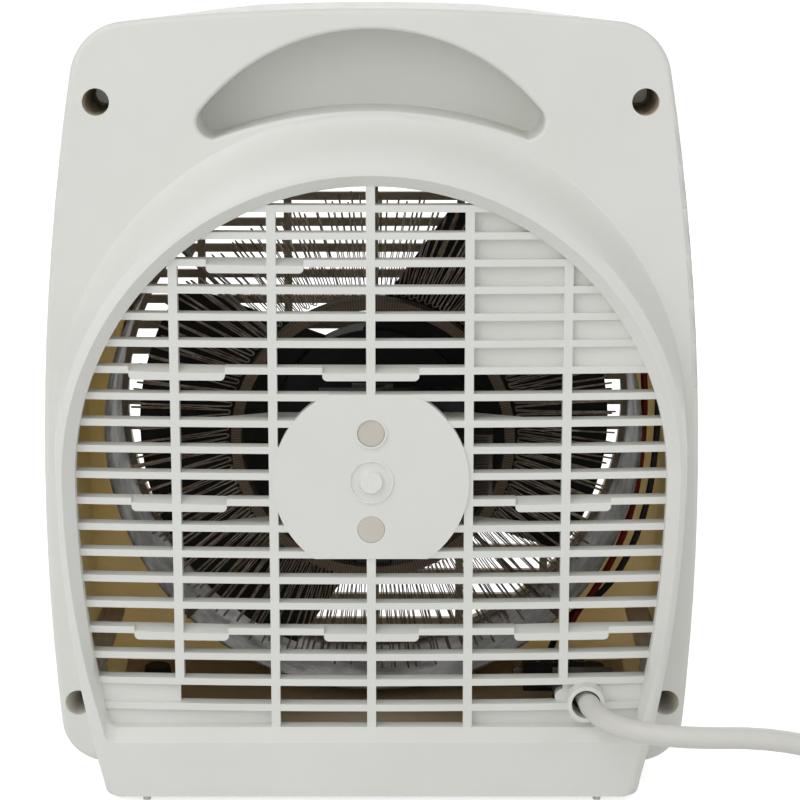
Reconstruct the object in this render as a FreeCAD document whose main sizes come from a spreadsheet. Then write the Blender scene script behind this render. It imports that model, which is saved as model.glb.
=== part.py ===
import FreeCAD, Part
import math
import os
import re
import Sketcher

# Portable fan heater in millimetres: +Z up, +Y to the warm-air outlet, -Y to the intake grille,
# origin on the floor under the middle of the heater.

V = FreeCAD.Vector
doc = FreeCAD.newDocument("fan_heater")
sheet = doc.addObject("Spreadsheet::Sheet", "Sizes")

SIZES = {
    # Casing outline and shells
    "casing_width": 214.8,
    "casing_top": 258.5,
    "casing_bottom": 7.5,
    "side_radius": 850.0,
    "side_apex": 96.5,
    "crown_radius": 780.0,
    "top_corner_radius": 19.0,
    "bottom_corner_radius": 15.0,
    "wall": 2.4,
    "rear_depth": 36.0,
    "front_depth": 74.0,
    "rear_edge_round": 2.0,
    "front_edge_round": 12.0,
    "axis_height": 108.5,
    # Hood round the intake
    "hood_rise": 18.0,
    "hood_half_width": 103.0,
    "hood_lift": 14.0,
    "hood_side_radius": 540.0,
    "crest_half_width": 101.5,
    "crest_side_radius": 395.0,
    "crest_round": 3.5,
    "foot_bottom": 2.3,
    "foot_corner": 3.0,
    "opening_radius": 95.5,
    "opening_side_radius": 400.0,
    "opening_bottom": 25.0,
    "opening_bevel": 4.0,
    "bevel_side_radius": 306.0,
    "opening_corner": 4.0,
    # Intake grille
    "bar_count": 20,
    "bars_above_middle": 10,
    "bar_pitch": 8.7,
    "bar_lift": 1.4,
    "bar_height": 2.3,
    "bar_depth": 5.0,
    "bar_setback": 4.0,
    "grille_crown_radius": 1233.0,
    "column_pitch": 31.5,
    "column_width": 2.9,
    "blank_thickness": 1.8,
    "blank_setback": 4.2,
    "tab_width": 31.0,
    "tab_drop": 2.1,
    "tab_corner": 1.6,
    "top_tab_x": 36.7,
    "side_tab_x": 62.2,
    "web_reach": 60.0,
    "web_clearance": 0.4,
    "web_thickness": 2.0,
    "pip_spacing": 149.0,
    "pip_radius": 1.3,
    # Hub of the intake grille, which carries the motor
    "hub_radius": 31.7,
    "hub_thickness": 4.5,
    "hub_proud": 0.5,
    "nub_radius": 3.5,
    "nub_ring_radius": 7.2,
    "nub_height": 1.6,
    "motor_screw_spacing": 32.0,
    "motor_standoff": 14.0,
    "post_radius": 5.8,
    "cap_radius": 4.4,
    "cap_thickness": 1.2,
    "collar_wall": 0.8,
    "collar_height": 0.5,
    # Handle recess
    "handle_top": 252.0,
    "handle_arc": 70.0,
    "handle_half_width": 53.5,
    "handle_lip": 226.3,
    "handle_lip_radius": 143.0,
    "handle_lip_half": 50.0,
    "handle_tip_radius": 5.6,
    "handle_depth": 24.0,
    # Casing screws
    "top_screw_x": 87.4,
    "top_screw_z": 229.1,
    "bottom_screw_x": 98.3,
    "bottom_screw_z": 28.5,
    "well_radius": 4.35,
    "well_wall": 1.3,
    "well_floor": 4.0,
    "screw_radius": 1.75,
    "screw_head_radius": 3.6,
    "screw_head_height": 2.6,
    "screw_length": 22.0,
    "boss_radius": 4.3,
    # Outlet: round grille, steel duct
    "outlet_radius": 92.5,
    "outlet_ring_width": 1.6,
    "outlet_flange_width": 4.0,
    "outlet_bar_pitch": 9.5,
    "outlet_bar_height": 3.0,
    "outlet_flange": 2.0,
    "duct_radius": 93.0,
    "duct_thickness": 0.8,
    "duct_length": 52.0,
    # Motor
    "core_length": 20.0,
    "core_width": 36.0,
    "core_height": 44.0,
    "core_leg": 7.0,
    "core_window": 9.0,
    "rotor_radius": 12.7,
    "rotor_length": 19.0,
    "air_gap": 0.4,
    "coil_wall": 6.0,
    "coil_height": 24.0,
    "shaft_radius": 3.0,
    "bracket_thickness": 1.6,
    "bracket_width": 14.0,
    "bracket_gap": 6.0,
    "bearing_radius": 5.6,
    "bearing_length": 5.0,
    "cup_wall": 1.2,
    "running_clearance": 0.05,
    "fit_clearance": 0.15,
    # Fan
    "fan_radius": 80.0,
    "fan_hub_radius": 35.0,
    "fan_hub_depth": 14.0,
    "fan_hub_wall": 1.8,
    "fan_boss_radius": 7.0,
    "fan_setback": 10.0,
    "blade_thickness": 1.4,
    "blade_half_angle": 52.0,
    "blade_overreach": 1.1,
    "blade_root_share": 0.2,
    "blade_pitch_angle": 7.0,
    "blade_centre_angle": 197.5,
    "nut_radius": 5.0,
    "nut_height": 4.0,
    # Heating element
    "band_radius": 46.5,
    "band_thickness": 2.5,
    "band_width": 9.0,
    "frame_plates": 4,
    "plate_thickness": 1.0,
    "plate_width": 4.0,
    "plate_lap": 12.0,
    "plate_lap_width": 5.0,
    "element_gap": 1.0,
    "wire_width": 0.9,
    "wire_inner_radius": 50.5,
    "wire_outer_radius": 85.0,
    "wire_hairpins": 44,
    "cutout_width": 13.0,
    "cutout_depth": 6.0,
    "cutout_height": 6.0,
    # Controls
    "knob_x": 62.0,
    "knob_z": 227.0,
    "knob_radius": 17.5,
    "knob_height": 12.0,
    "knob_wall": 2.2,
    "knob_gap": 0.5,
    "knob_grip_width": 6.0,
    "knob_grip_depth": 5.0,
    "spindle_radius": 3.0,
    "spindle_hole_clearance": 0.7,
    "control_width": 30.0,
    "control_height": 24.0,
    "control_depth": 18.0,
    "lamp_radius": 4.0,
    "lamp_z": 234.0,
    "lens_lip": 1.4,
    # Feet, terminal block, cord entry
    "front_foot_x": 80.0,
    "front_foot_setback": 26.0,
    "front_foot_radius": 7.5,
    "foot_neck_radius": 4.5,
    "foot_head_radius": 5.3,
    "foot_head_height": 4.0,
    "block_x": 65.0,
    "block_setback": 30.0,
    "block_width": 22.0,
    "block_depth": 14.0,
    "block_height": 11.0,
    "entry_x": 70.3,
    "entry_z": 34.0,
    "entry_radius": 4.75,
    "entry_wall": 1.4,
    "entry_proud": 3.5,
    "clamp_width": 20.0,
    "clamp_height": 13.0,
    "clamp_depth": 8.0,
    "clamp_screw_offset": 7.0,
    "clamp_screw_radius": 1.5,
    "clamp_boss_radius": 2.8,
    "lead_radius": 1.2,
    # Mains cord, coil, tie and plug
    "cord_radius": 3.5,
    "coil_centre_x": 206.0,
    "coil_outer_radius": 48.0,
    "coil_dip": 2.0,
    "coil_step": 7.7,
    "coil_base": 4.9,
    "coil_layer": 7.6,
    "coil_quarters_in": 9,
    "coil_quarters_out": 10,
    "coil_lead_out": 32.0,
    "tie_clearance": 0.4,
    "tie_thickness": 1.0,
    "tie_width": 8.0,
    "plug_tail_length": 22.0,
    "plug_tail_radius": 5.2,
    "plug_body_length": 28.0,
    "plug_width": 35.0,
    "plug_thickness": 24.0,
    "plug_waist_share": 0.6,
    "plug_flat_share": 0.55,
    "plug_side_share": 0.45,
    "pin_radius": 2.4,
    "pin_length": 19.0,
    "pin_spacing": 19.0,
}

for row, (alias, value) in enumerate(SIZES.items(), start=1):
    sheet.set("A%d" % row, alias.replace("_", " "))
    sheet.set("B%d" % row, str(value))
    sheet.setAlias("B%d" % row, alias)
doc.recompute()

# Planes across the depth, from the rear to the front, as formulas of the sheet
PARTING = "((hood_rise + rear_depth - front_depth - knob_height) / 2)"
FLANGE = "(%s - rear_depth)" % PARTING
CREST = "(%s - hood_rise)" % FLANGE
FRONT = "(%s + front_depth)" % PARTING
FRONT_INSIDE = "(%s - wall)" % FRONT
KNOB_FACE = "(%s + knob_height)" % FRONT
BARS = "(%s + bar_setback)" % CREST
BARS_INSIDE = "(%s + bar_depth)" % BARS
BLANK_REAR = "(%s + blank_setback)" % BARS
BLANK_FRONT = "(%s + blank_thickness)" % BLANK_REAR
MOTOR_SEAT = "(%s + motor_standoff)" % BARS
FLOOR_INSIDE = "(casing_bottom + wall)"

NODES = {}


def bound(formula):
    """A formula of the sheet's names, as an expression that other objects can use."""
    return re.sub(r"[a-z_]+", lambda m: "Sizes." + m.group() if m.group() in SIZES else m.group(), formula)


def number(formula):
    """The present value of a formula of the sheet's names."""
    return float(sheet.evalExpression(formula))


def node(label, made):
    """Name an object as a finished sub-part."""
    made.Label = label
    NODES[label] = made
    return made


def body(name):
    return doc.addObject("PartDesign::Body", name)


def sketch(owner, role, x="0", y="0", z="0"):
    """A sketch on one of the body's origin planes, shifted by formulas in the plane's own axes."""
    made = owner.newObject("Sketcher::SketchObject", owner.Name + "_sketch")
    support = next(f for f in owner.Origin.OriginFeatures if f.Role == role)
    made.AttachmentSupport = [(support, "")]
    made.MapMode = "FlatFace"
    made.setExpression("AttachmentOffset.Base.x", bound(x))
    made.setExpression("AttachmentOffset.Base.y", bound(y))
    made.setExpression("AttachmentOffset.Base.z", bound(z))
    return made


def rear_view(owner, depth):
    """A sketch seen from the rear, X to the right and Z up, at a given depth."""
    return sketch(owner, "XZ_Plane", z="-(%s)" % depth)


def tie(profile, kind, geometry, position, formula):
    """Hold one coordinate of a point to a formula."""
    index = profile.addConstraint(Sketcher.Constraint(kind, -1, 1, geometry, position, number(formula)))
    profile.setExpression("Constraints[%d]" % index, bound(formula))


def tie_point(profile, geometry, position, x, y):
    tie(profile, "DistanceX", geometry, position, x)
    tie(profile, "DistanceY", geometry, position, y)


def tie_radius(profile, geometry, formula):
    index = profile.addConstraint(Sketcher.Constraint("Radius", geometry, number(formula)))
    profile.setExpression("Constraints[%d]" % index, bound(formula))


def circle(profile, x, y, radius):
    made = profile.addGeometry(Part.Circle(V(number(x), number(y), 0), V(0, 0, 1), number(radius)))
    tie_point(profile, made, 3, x, y)
    tie_radius(profile, made, radius)


def arc_middle(start, end, radius, side):
    """Middle of the arc between two points, bulging to the left (1) or right (-1) of the way."""
    chord = end - start
    left = V(-chord.y, chord.x, 0).normalize()
    half = chord.Length / 2
    sagitta = radius - math.sqrt(max(radius * radius - half * half, 0))
    return (start + end) / 2 + left * (sagitta * side)


def outline(profile, corners):
    """A closed loop. A corner is (x, y), or (x, y, radius, side) where an arc leaves it."""
    places = [V(number(c[0]), number(c[1]), 0) for c in corners]
    ends = []
    for i, corner in enumerate(corners):
        start = places[i]
        end = places[(i + 1) % len(places)]
        if len(corner) == 2:
            made = profile.addGeometry(Part.LineSegment(start, end))
        else:
            middle = arc_middle(start, end, number(corner[2]), corner[3])
            made = profile.addGeometry(Part.Arc(start, middle, end))
        first = 1 if (profile.getPoint(made, 1) - start).Length < 1e-6 else 2
        ends.append((made, first))
    for i, (made, first) in enumerate(ends):
        following, position = ends[(i + 1) % len(ends)]
        profile.addConstraint(Sketcher.Constraint("Coincident", made, 3 - first, following, position))
    for (made, first), corner in zip(ends, corners):
        tie_point(profile, made, first, corner[0], corner[1])
        if len(corner) > 2:
            tie_radius(profile, made, corner[2])


def rectangle(profile, x0, y0, x1, y1):
    outline(profile, [(x0, y0), (x1, y0), (x1, y1), (x0, y1)])


def pad(owner, profile, length, reverse=False):
    made = owner.newObject("PartDesign::Pad", owner.Name + "_pad")
    made.Profile = profile
    made.setExpression("Length", bound(length))
    made.Reversed = reverse
    return made


def pocket(owner, profile, length, reverse=False):
    made = owner.newObject("PartDesign::Pocket", owner.Name + "_pocket")
    made.Profile = profile
    made.setExpression("Length", bound(length))
    made.Reversed = reverse
    return made


def rounded(owner, base, radius, wanted):
    """Round the edges of a feature that pass a test."""
    doc.recompute()
    names = ["Edge%d" % (i + 1) for i, edge in enumerate(base.Shape.Edges) if wanted(edge)]
    made = owner.newObject("PartDesign::Fillet", owner.Name + "_round")
    made.Base = (base, names)
    made.setExpression("Radius", bound(radius))
    return made


def turned(name, corners, x="0", z="axis_height"):
    """A piece turned about a line along Y. Its half section is given as (along Y, radius)."""
    made = body(name)
    profile = sketch(made, "YZ_Plane", y=z, z=x)
    outline(profile, corners)
    turn = made.newObject("PartDesign::Revolution", name + "_turn")
    turn.Profile = profile
    turn.ReferenceAxis = (profile, ["H_Axis"])
    turn.Angle = 360
    return made


def rod(name, start, end, radius, x="0", z="axis_height"):
    return turned(name, [(start, "0"), (end, "0"), (end, radius), (start, radius)], x, z)


def sleeve(name, start, end, inner, outer, x="0", z="axis_height"):
    return turned(name, [(start, inner), (end, inner), (end, outer), (start, outer)], x, z)


def block(name, x0, x1, y0, y1, z0, z1):
    made = doc.addObject("Part::Box", name)
    for size, low, high, axis in (("Length", x0, x1, "x"), ("Width", y0, y1, "y"), ("Height", z0, z1, "z")):
        made.setExpression(size, bound("(%s) - (%s)" % (high, low)))
        made.setExpression("Placement.Base." + axis, bound(low))
    return made


def fuse(name, pieces):
    made = doc.addObject("Part::MultiFuse", name)
    made.Shapes = pieces
    made.Refine = True
    return made


def common(name, pieces):
    made = doc.addObject("Part::MultiCommon", name)
    made.Shapes = pieces
    made.Refine = True
    return made


def cut(name, base, tools):
    made = doc.addObject("Part::Cut", name)
    made.Base = base
    made.Tool = tools[0] if len(tools) == 1 else fuse(name + "_tools", tools)
    made.Refine = True
    return made


def group(name, pieces):
    made = doc.addObject("Part::Compound", name)
    made.Links = pieces
    return made


# Casing outline: flat bottom, bowed sides, crowned top, rounded corners

def meeting_height(half_width, inset):
    """Height at which the bowed side meets the crowned top, found by stepping between the two."""
    side = number("side_radius") - inset
    crown = number("crown_radius") - inset
    height = number("casing_top")
    for _ in range(60):
        along = half_width - inset - side + math.sqrt(side ** 2 - (height - number("side_apex")) ** 2)
        height = number("casing_top") - inset - crown + math.sqrt(crown ** 2 - along ** 2)
    return along, height


def casing_solid(name, start, end, inset, edge_round=None, round_at=None):
    """The space inside the casing's outline, drawn in by an inset, between two depths."""
    made = body(name)
    profile = rear_view(made, start)
    shrink = number(inset)
    half = number("casing_width") / 2
    bottom = number("casing_bottom") + shrink
    side = number("side_radius") - shrink
    apex = number("side_apex")
    low = half - shrink - side + math.sqrt(side ** 2 - (bottom - apex) ** 2)
    along, height = meeting_height(half, shrink)
    corners = [V(-low, bottom, 0), V(low, bottom, 0), V(along, height, 0), V(-along, height, 0)]
    waist = V(half - shrink, apex, 0)
    top = V(0, number("casing_top") - shrink, 0)
    base = profile.addGeometry(Part.LineSegment(corners[0], corners[1]))
    right = profile.addGeometry(Part.Arc(corners[1], waist, corners[2]))
    crown = profile.addGeometry(Part.Arc(corners[2], top, corners[3]))
    left = profile.addGeometry(Part.Arc(corners[3], V(-waist.x, waist.y, 0), corners[0]))
    for one, other in ((base, right), (right, crown), (crown, left), (left, base)):
        profile.addConstraint(Sketcher.Constraint("Coincident", one, 2, other, 1))
    profile.addConstraint(Sketcher.Constraint("Horizontal", base))
    tie(profile, "DistanceY", base, 1, "casing_bottom + (%s)" % inset)
    tie_point(profile, right, 3, "casing_width / 2 - side_radius", "side_apex")
    tie_point(profile, left, 3, "side_radius - casing_width / 2", "side_apex")
    tie_point(profile, crown, 3, "0", "casing_top - crown_radius")
    tie_radius(profile, right, "side_radius - (%s)" % inset)
    tie_radius(profile, left, "side_radius - (%s)" % inset)
    tie_radius(profile, crown, "crown_radius - (%s)" % inset)
    last = pad(made, profile, "(%s) - (%s)" % (end, start), reverse=True)
    middle = number("axis_height")

    def corner_edge(edge, above):
        run = edge.Vertexes[0].Point - edge.Vertexes[-1].Point
        straight = abs(run.x) + abs(run.z) < 1e-4
        return straight and (edge.CenterOfMass.z > middle) == above

    last = rounded(made, last, "top_corner_radius - (%s)" % inset, lambda e: corner_edge(e, True))
    last = rounded(made, last, "bottom_corner_radius - (%s)" % inset, lambda e: corner_edge(e, False))
    if edge_round:
        at = number(round_at)
        last = rounded(made, last, edge_round,
                       lambda e: all(abs(v.Point.y - at) < 1e-4 for v in e.Vertexes))
    return made


def arch(profile, half_width, centre, side_radius, bottom, corner):
    """A round arch whose sides draw in towards a flat bottom with rounded corners."""

    def side_at(height):
        return "((%s) - (%s) + sqrt((%s) ^ 2 - ((%s) - (%s)) ^ 2))" % (
            half_width, side_radius, side_radius, centre, height)

    low = "(%s - %s)" % (side_at(bottom), corner)
    knee = "(%s) + %s" % (bottom, corner)
    top = "(%s) + (%s)" % (centre, half_width)
    outline(profile, [
        ("-" + low, bottom),
        (low, bottom, corner, -1),
        (side_at(knee), knee, side_radius, -1),
        (half_width, centre, half_width, -1),
        ("0", top, half_width, -1),
        ("-(%s)" % half_width, centre, side_radius, -1),
        ("-" + side_at(knee), knee, corner, -1),
    ])


def arch_loft(name, sections):
    """A form through arches at several depths: (depth, half width, centre, side, bottom, corner)."""
    made = body(name)
    profiles = []
    for depth, *section in sections:
        profile = rear_view(made, depth)
        arch(profile, *section)
        profiles.append(profile)
    loft = made.newObject("PartDesign::AdditiveLoft", name + "_loft")
    loft.Profile = profiles[0]
    loft.Sections = profiles[1:]
    loft.Ruled = True
    return made


def bar_height_at(index):
    """Height of the middle of a grille bar, counted from the top."""
    return "(axis_height + bar_lift + (bars_above_middle - %d) * bar_pitch)" % index


# Rear cover

GRILLE_DROP = "(grille_crown_radius - sqrt(grille_crown_radius ^ 2 - (entry_x + clamp_width / 2) ^ 2))"
CLAMP_SEAT = "(%s + %s + fit_clearance)" % (BARS_INSIDE, GRILLE_DROP)
CLAMP_FRONT = "(%s + clamp_depth)" % CLAMP_SEAT
CLAMP_SCREWS = ["entry_x - clamp_screw_offset", "entry_x + clamp_screw_offset"]
SCREWS = [("top_screw_x", "top_screw_z"), ("-top_screw_x", "top_screw_z"),
          ("bottom_screw_x", "bottom_screw_z"), ("-bottom_screw_x", "bottom_screw_z")]
WELL_FLOOR = "(%s - well_floor)" % PARTING


def handle_outline(profile, grow):
    """The crescent of the handle recess, grown all round."""
    upper = "(handle_arc + (%s))" % grow
    lower = "(handle_lip_radius - (%s))" % grow
    half = "(handle_half_width + (%s))" % grow
    lip = "(handle_lip_half + (%s))" % grow
    shoulder = "handle_top - handle_arc + sqrt(%s ^ 2 - %s ^ 2)" % (upper, half)
    foot = "handle_lip - handle_lip_radius + sqrt(%s ^ 2 - %s ^ 2)" % (lower, lip)
    tip = "(handle_tip_radius + (%s))" % grow
    outline(profile, [
        ("-" + half, shoulder, upper, 1),
        (half, shoulder, tip, 1),
        (lip, foot, lower, -1),
        ("-" + lip, foot, tip, 1),
    ])


def handle_form(name, grow, start, length):
    made = body(name)
    profile = rear_view(made, start)
    handle_outline(profile, grow)
    pad(made, profile, length, reverse=True)
    return made


HOOD_STEPS = [0.0, 0.2, 0.4, 0.6, 0.8, 0.92, 1.0]


def hood_form(name, inset, bottom):
    """The hood's body: an even S from the flange to the crest, with the crest's edge rounded off."""
    sections = []
    for step in HOOD_STEPS:
        climbed = step * step * (3 - 2 * step)
        high = "max(0; 1 - hood_rise * %s / crest_round)" % (1 - climbed)
        edge = "crest_round * (1 - sqrt(1 - (%s) ^ 2))" % high
        half = "(hood_half_width + (crest_half_width - hood_half_width) * %s - %s - %s)" % (
            step, edge, inset)
        centre = "(axis_height + hood_lift * %s)" % (1 - step)
        side = "(hood_side_radius + (crest_side_radius - hood_side_radius) * %s - %s)" % (step, inset)
        depth = "(%s - (hood_rise - %s) * %s)" % (FLANGE, inset, climbed)
        sections.append((depth, half, centre, side, bottom, "foot_corner"))
    return arch_loft(name, sections)


def hood_throat():
    """The way through the flange inside the hood."""
    made = body("hood_throat")
    profile = rear_view(made, FLANGE)
    arch(profile, "hood_half_width - wall", "(axis_height + hood_lift)", "hood_side_radius - wall",
         FLOOR_INSIDE, "foot_corner")
    pad(made, profile, "wall", reverse=True)
    return made


def opening_form(name, grow, start, end):
    """The intake opening, grown all round, between two depths."""
    section = ("opening_radius + (%s)" % grow, "axis_height", "opening_side_radius + (%s)" % grow,
               "opening_bottom - (%s)" % grow, "opening_corner")
    made = body(name)
    profile = rear_view(made, start)
    arch(profile, *section)
    pad(made, profile, "(%s) - (%s)" % (end, start), reverse=True)
    return made


def opening_cut():
    """The opening with its bevelled rim."""
    wide = ("opening_radius + opening_bevel", "axis_height", "bevel_side_radius",
            "opening_bottom - opening_bevel", "opening_corner")
    narrow = ("opening_radius", "axis_height", "opening_side_radius", "opening_bottom", "opening_corner")
    bevel = arch_loft("opening_bevel_form", [(CREST,) + wide, (BARS,) + narrow])
    return [bevel, opening_form("opening_throat", "0", BARS, FLANGE)]


TABS = {2: ["-top_tab_x"], 6: ["-side_tab_x", "0"], 11: ["-side_tab_x", "side_tab_x"],
        16: ["-side_tab_x", "0", "side_tab_x"]}


def scoop_tab(name, row, middle):
    """A length of bar whose outer edge dips, with a ramp up to the bar's inner edge."""
    made = body(name)
    profile = sketch(made, "YZ_Plane", y=bar_height_at(row), z="%s - tab_width / 2" % middle)
    face = "(%s + grille_crown_radius - sqrt(grille_crown_radius ^ 2 - (%s) ^ 2))" % (BARS, middle)
    lip = "-(bar_height / 2 + tab_drop)"
    dip = "-bar_height / 3"
    outline(profile, [
        (face + " + bar_depth + wall", "bar_height / 2"),
        (face + " + bar_depth", "bar_height / 2"),
        (face, dip),
        (face + " - wall", dip),
        (face + " - wall", lip),
        (face + " + bar_depth / 2", lip),
        (face + " + bar_depth + wall", "-bar_height / 2"),
    ])
    last = pad(made, profile, "tab_width")
    low = number(bar_height_at(row)) + number(lip)

    def lower_corner(edge):
        ends = [v.Point for v in edge.Vertexes]
        return all(abs(p.z - low) < 1e-4 for p in ends) and abs(ends[0].y - ends[-1].y) > 0.5

    rounded(made, last, "tab_corner", lower_corner)
    return made


def grille_row(row):
    """A bar across the opening, with its scooped lengths in their places."""
    height = bar_height_at(row)
    span = (CREST, FLANGE, height + " - bar_height / 2", height + " + bar_height / 2")
    bar = block("row_%d" % row, "-opening_radius - wall", "opening_radius + wall", *span)
    if row not in TABS:
        return [bar]
    gaps = []
    tabs = []
    for i, middle in enumerate(TABS[row]):
        gaps.append(block("row_gap_%d_%d" % (row, i), middle + " - tab_width / 2",
                          middle + " + tab_width / 2", *span))
        tabs.append(scoop_tab("tab_%d_%d" % (row, i), row, middle))
    return [cut("row_open_%d" % row, bar, gaps)] + tabs


def grille_bars():
    """Rows and columns, clipped to the crowned slab of the grille inside the opening."""
    rows = []
    count = int(number("bar_count"))
    for i in range(count):
        rows += grille_row(i)
    columns = []
    foot = "opening_bottom - wall"
    spans = [(foot, "(axis_height + opening_radius + wall)"), (foot, bar_height_at(0)),
             (bar_height_at(count - 2) + " - bar_height / 4", bar_height_at(2))]
    for k in range(-2, 3):
        middle = "%d * column_pitch" % k
        columns.append(block("column_%d" % (k + 2), "%s - column_width / 2" % middle,
                             "%s + column_width / 2" % middle, CREST, FLANGE, *spans[abs(k)]))
    slab = body("grille_slab")
    profile = sketch(slab, "XY_Plane", y="%s + grille_crown_radius" % BARS)
    circle(profile, "0", "0", "grille_crown_radius")
    circle(profile, "0", "0", "grille_crown_radius - bar_depth")
    pad(slab, profile, "casing_top")
    mouth = opening_form("grille_mouth", "wall / 2", CREST, FLANGE)
    return common("grille_bars", [fuse("grille_lattice", rows + columns), slab, mouth])


def blank_panels():
    """Plates behind the bars: beside the thermostat at the top, and across the foot of the grille."""
    behind = (BLANK_REAR, BLANK_FRONT)
    reach = "opening_radius + wall"
    top = "axis_height + opening_radius"
    last = int(number("bar_count")) - 1
    foot = "opening_bottom - wall"
    panels = [block("blank_top", "column_pitch", reach, *behind, bar_height_at(6), top)]
    for side, name in (("", "right"), ("-", "left")):
        spans = [("2 * column_pitch", bar_height_at(last - 1)), ("column_pitch", bar_height_at(last))]
        for k, (inner, ceiling) in enumerate(spans):
            ends = (inner, reach) if side == "" else ("-(%s)" % reach, "-(%s)" % inner)
            panels.append(block("blank_%s_%d" % (name, k), *ends, *behind, foot, ceiling))
    mouth = opening_form("blank_mouth", "wall / 2", CREST, FLANGE)
    return common("blank_panels", [fuse("blank_plates", panels), mouth])


def stiffening_web(row):
    """A tapered web inside a bar, deepest behind the hub."""
    made = body("web_%d" % row)
    profile = sketch(made, "XY_Plane", z="%s - web_thickness / 2" % bar_height_at(row))
    outline(profile, [
        ("-web_reach", BARS + " + bar_depth / 2"),
        ("web_reach", BARS + " + bar_depth / 2"),
        ("hub_radius", MOTOR_SEAT + " - web_clearance"),
        ("-hub_radius", MOTOR_SEAT + " - web_clearance"),
    ])
    pad(made, profile, "web_thickness")
    return made


MOTOR_SCREWS = ["(axis_height + motor_screw_spacing / 2)", "(axis_height - motor_screw_spacing / 2)"]
HUB_FACE = "(%s - hub_proud)" % BARS
CAP_SEAT = "(%s + cap_thickness)" % HUB_FACE
HEAD_SEAT = "(%s + screw_head_height + fit_clearance)" % CAP_SEAT


def hub_plate():
    """Round hub with flats on the bars above and below it, a central nub and two motor posts."""
    disc = rod("hub_disc", HUB_FACE, HUB_FACE + " + hub_thickness", "hub_radius")
    flats = block("hub_flats", "-hub_radius", "hub_radius", CREST, FLANGE,
                  bar_height_at(13) + " - bar_height / 2", bar_height_at(7) + " + bar_height / 2")
    plate = common("hub_plate", [disc, flats])
    nub = turned("hub_nub", [
        (HUB_FACE + " + hub_thickness / 2", "0"),
        (HUB_FACE + " - nub_height", "0"),
        (HUB_FACE + " - nub_height", "nub_radius"),
        (HUB_FACE + " + hub_thickness / 2", "nub_radius + nub_height"),
    ])
    ring = sleeve("hub_ring", HUB_FACE + " - nub_height / 3", HUB_FACE + " + hub_thickness / 2",
                  "nub_ring_radius - nub_height / 3", "nub_ring_radius")
    collar = rod("cap_collar", HUB_FACE + " - collar_height", HUB_FACE + " + hub_thickness / 2",
                 "cap_radius + collar_wall", z=MOTOR_SCREWS[0])
    posts = [rod("motor_post_%d" % i, HUB_FACE + " + hub_thickness / 2", MOTOR_SEAT, "post_radius", z=z)
             for i, z in enumerate(MOTOR_SCREWS)]
    wells = []
    for i, z in enumerate(MOTOR_SCREWS):
        wells.append(turned("motor_well_%d" % i, [
            (HUB_FACE + " - hub_thickness", "0"),
            (MOTOR_SEAT + " + wall", "0"),
            (MOTOR_SEAT + " + wall", "screw_radius + fit_clearance"),
            (HEAD_SEAT, "screw_radius + fit_clearance"),
            (HEAD_SEAT, "screw_head_radius + fit_clearance"),
            (CAP_SEAT, "screw_head_radius + fit_clearance"),
            (CAP_SEAT, "cap_radius + running_clearance"),
            (HUB_FACE + " - hub_thickness", "cap_radius + running_clearance"),
        ], z=z))
    return [plate, nub, ring, collar] + posts, wells


def rear_cover():
    outer = casing_solid("rear_outer", FLANGE, PARTING, "0", "rear_edge_round", FLANGE)
    inner = casing_solid("rear_inner", FLANGE + " + wall", PARTING, "wall")
    shell = cut("rear_shell", outer, [inner])
    bounds = casing_solid("rear_bounds", FLANGE, PARTING, "0", "rear_edge_round", FLANGE)
    tubes = [rod("well_tube_%d" % i, FLANGE, PARTING, "well_radius + well_wall", x, z)
             for i, (x, z) in enumerate(SCREWS)]
    cup = handle_form("handle_cup", "wall", FLANGE, "handle_depth + wall")
    kept = common("rear_inserts", [fuse("rear_tubes", tubes + [cup]), bounds])
    wells = [turned("well_%d" % i, [
        (FLANGE + " - wall", "0"),
        (PARTING + " + wall", "0"),
        (PARTING + " + wall", "screw_radius + fit_clearance"),
        (WELL_FLOOR, "screw_radius + fit_clearance"),
        (WELL_FLOOR, "well_radius"),
        (FLANGE + " - wall", "well_radius"),
    ], x, z) for i, (x, z) in enumerate(SCREWS)]
    recess = handle_form("handle_recess", "0", FLANGE, "handle_depth")
    plain = cut("rear_plain", fuse("rear_with_inserts", [shell, kept]), wells + [recess])
    hood = hood_form("hood_outer", "0", "foot_bottom")
    hollow = [hood_form("hood_inner", "wall", FLOOR_INSIDE), hood_throat()]
    hooded = cut("rear_hooded", fuse("rear_with_hood", [plain, hood]), hollow)
    rim = opening_form("opening_rim", "wall + hub_proud", CREST + " + crest_round / 2", BARS_INSIDE)
    mouth = cut("rear_mouth", fuse("rear_with_rim", [hooded, rim]), opening_cut())
    hub, motor_wells = hub_plate()
    webs = [stiffening_web(row) for row in (8, 12)]
    entry = rod("cord_entry", BARS + " - entry_proud", BLANK_FRONT, "entry_radius + entry_wall",
                "entry_x", "entry_z")
    entry_hole = rod("cord_hole", CREST + " - hood_rise", FLANGE, "entry_radius", "entry_x", "entry_z")
    pips = []
    for side in ("-", ""):
        made = body("pip_%s" % ("left" if side else "right"))
        profile = sketch(made, "XY_Plane")
        circle(profile, side + "pip_spacing / 2", BARS, "pip_radius")
        pad(made, profile, "foot_bottom + wall")
        pips.append(made)
    clamp_bosses = [rod("clamp_boss_%d" % i, BLANK_REAR, CLAMP_SEAT, "clamp_boss_radius", x, "entry_z")
                    for i, x in enumerate(CLAMP_SCREWS)]
    clamp_holes = [rod("clamp_pilot_%d" % i, BLANK_FRONT, CLAMP_SEAT + " + wall", "clamp_screw_radius",
                       x, "entry_z") for i, x in enumerate(CLAMP_SCREWS)]
    grille = [grille_bars(), blank_panels(), entry]
    whole = fuse("rear_whole", [mouth] + grille + hub + webs + pips + clamp_bosses)
    return node("rear_cover", cut("rear_cover", whole, motor_wells + [entry_hole] + clamp_holes))


# Front casing and outlet

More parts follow.
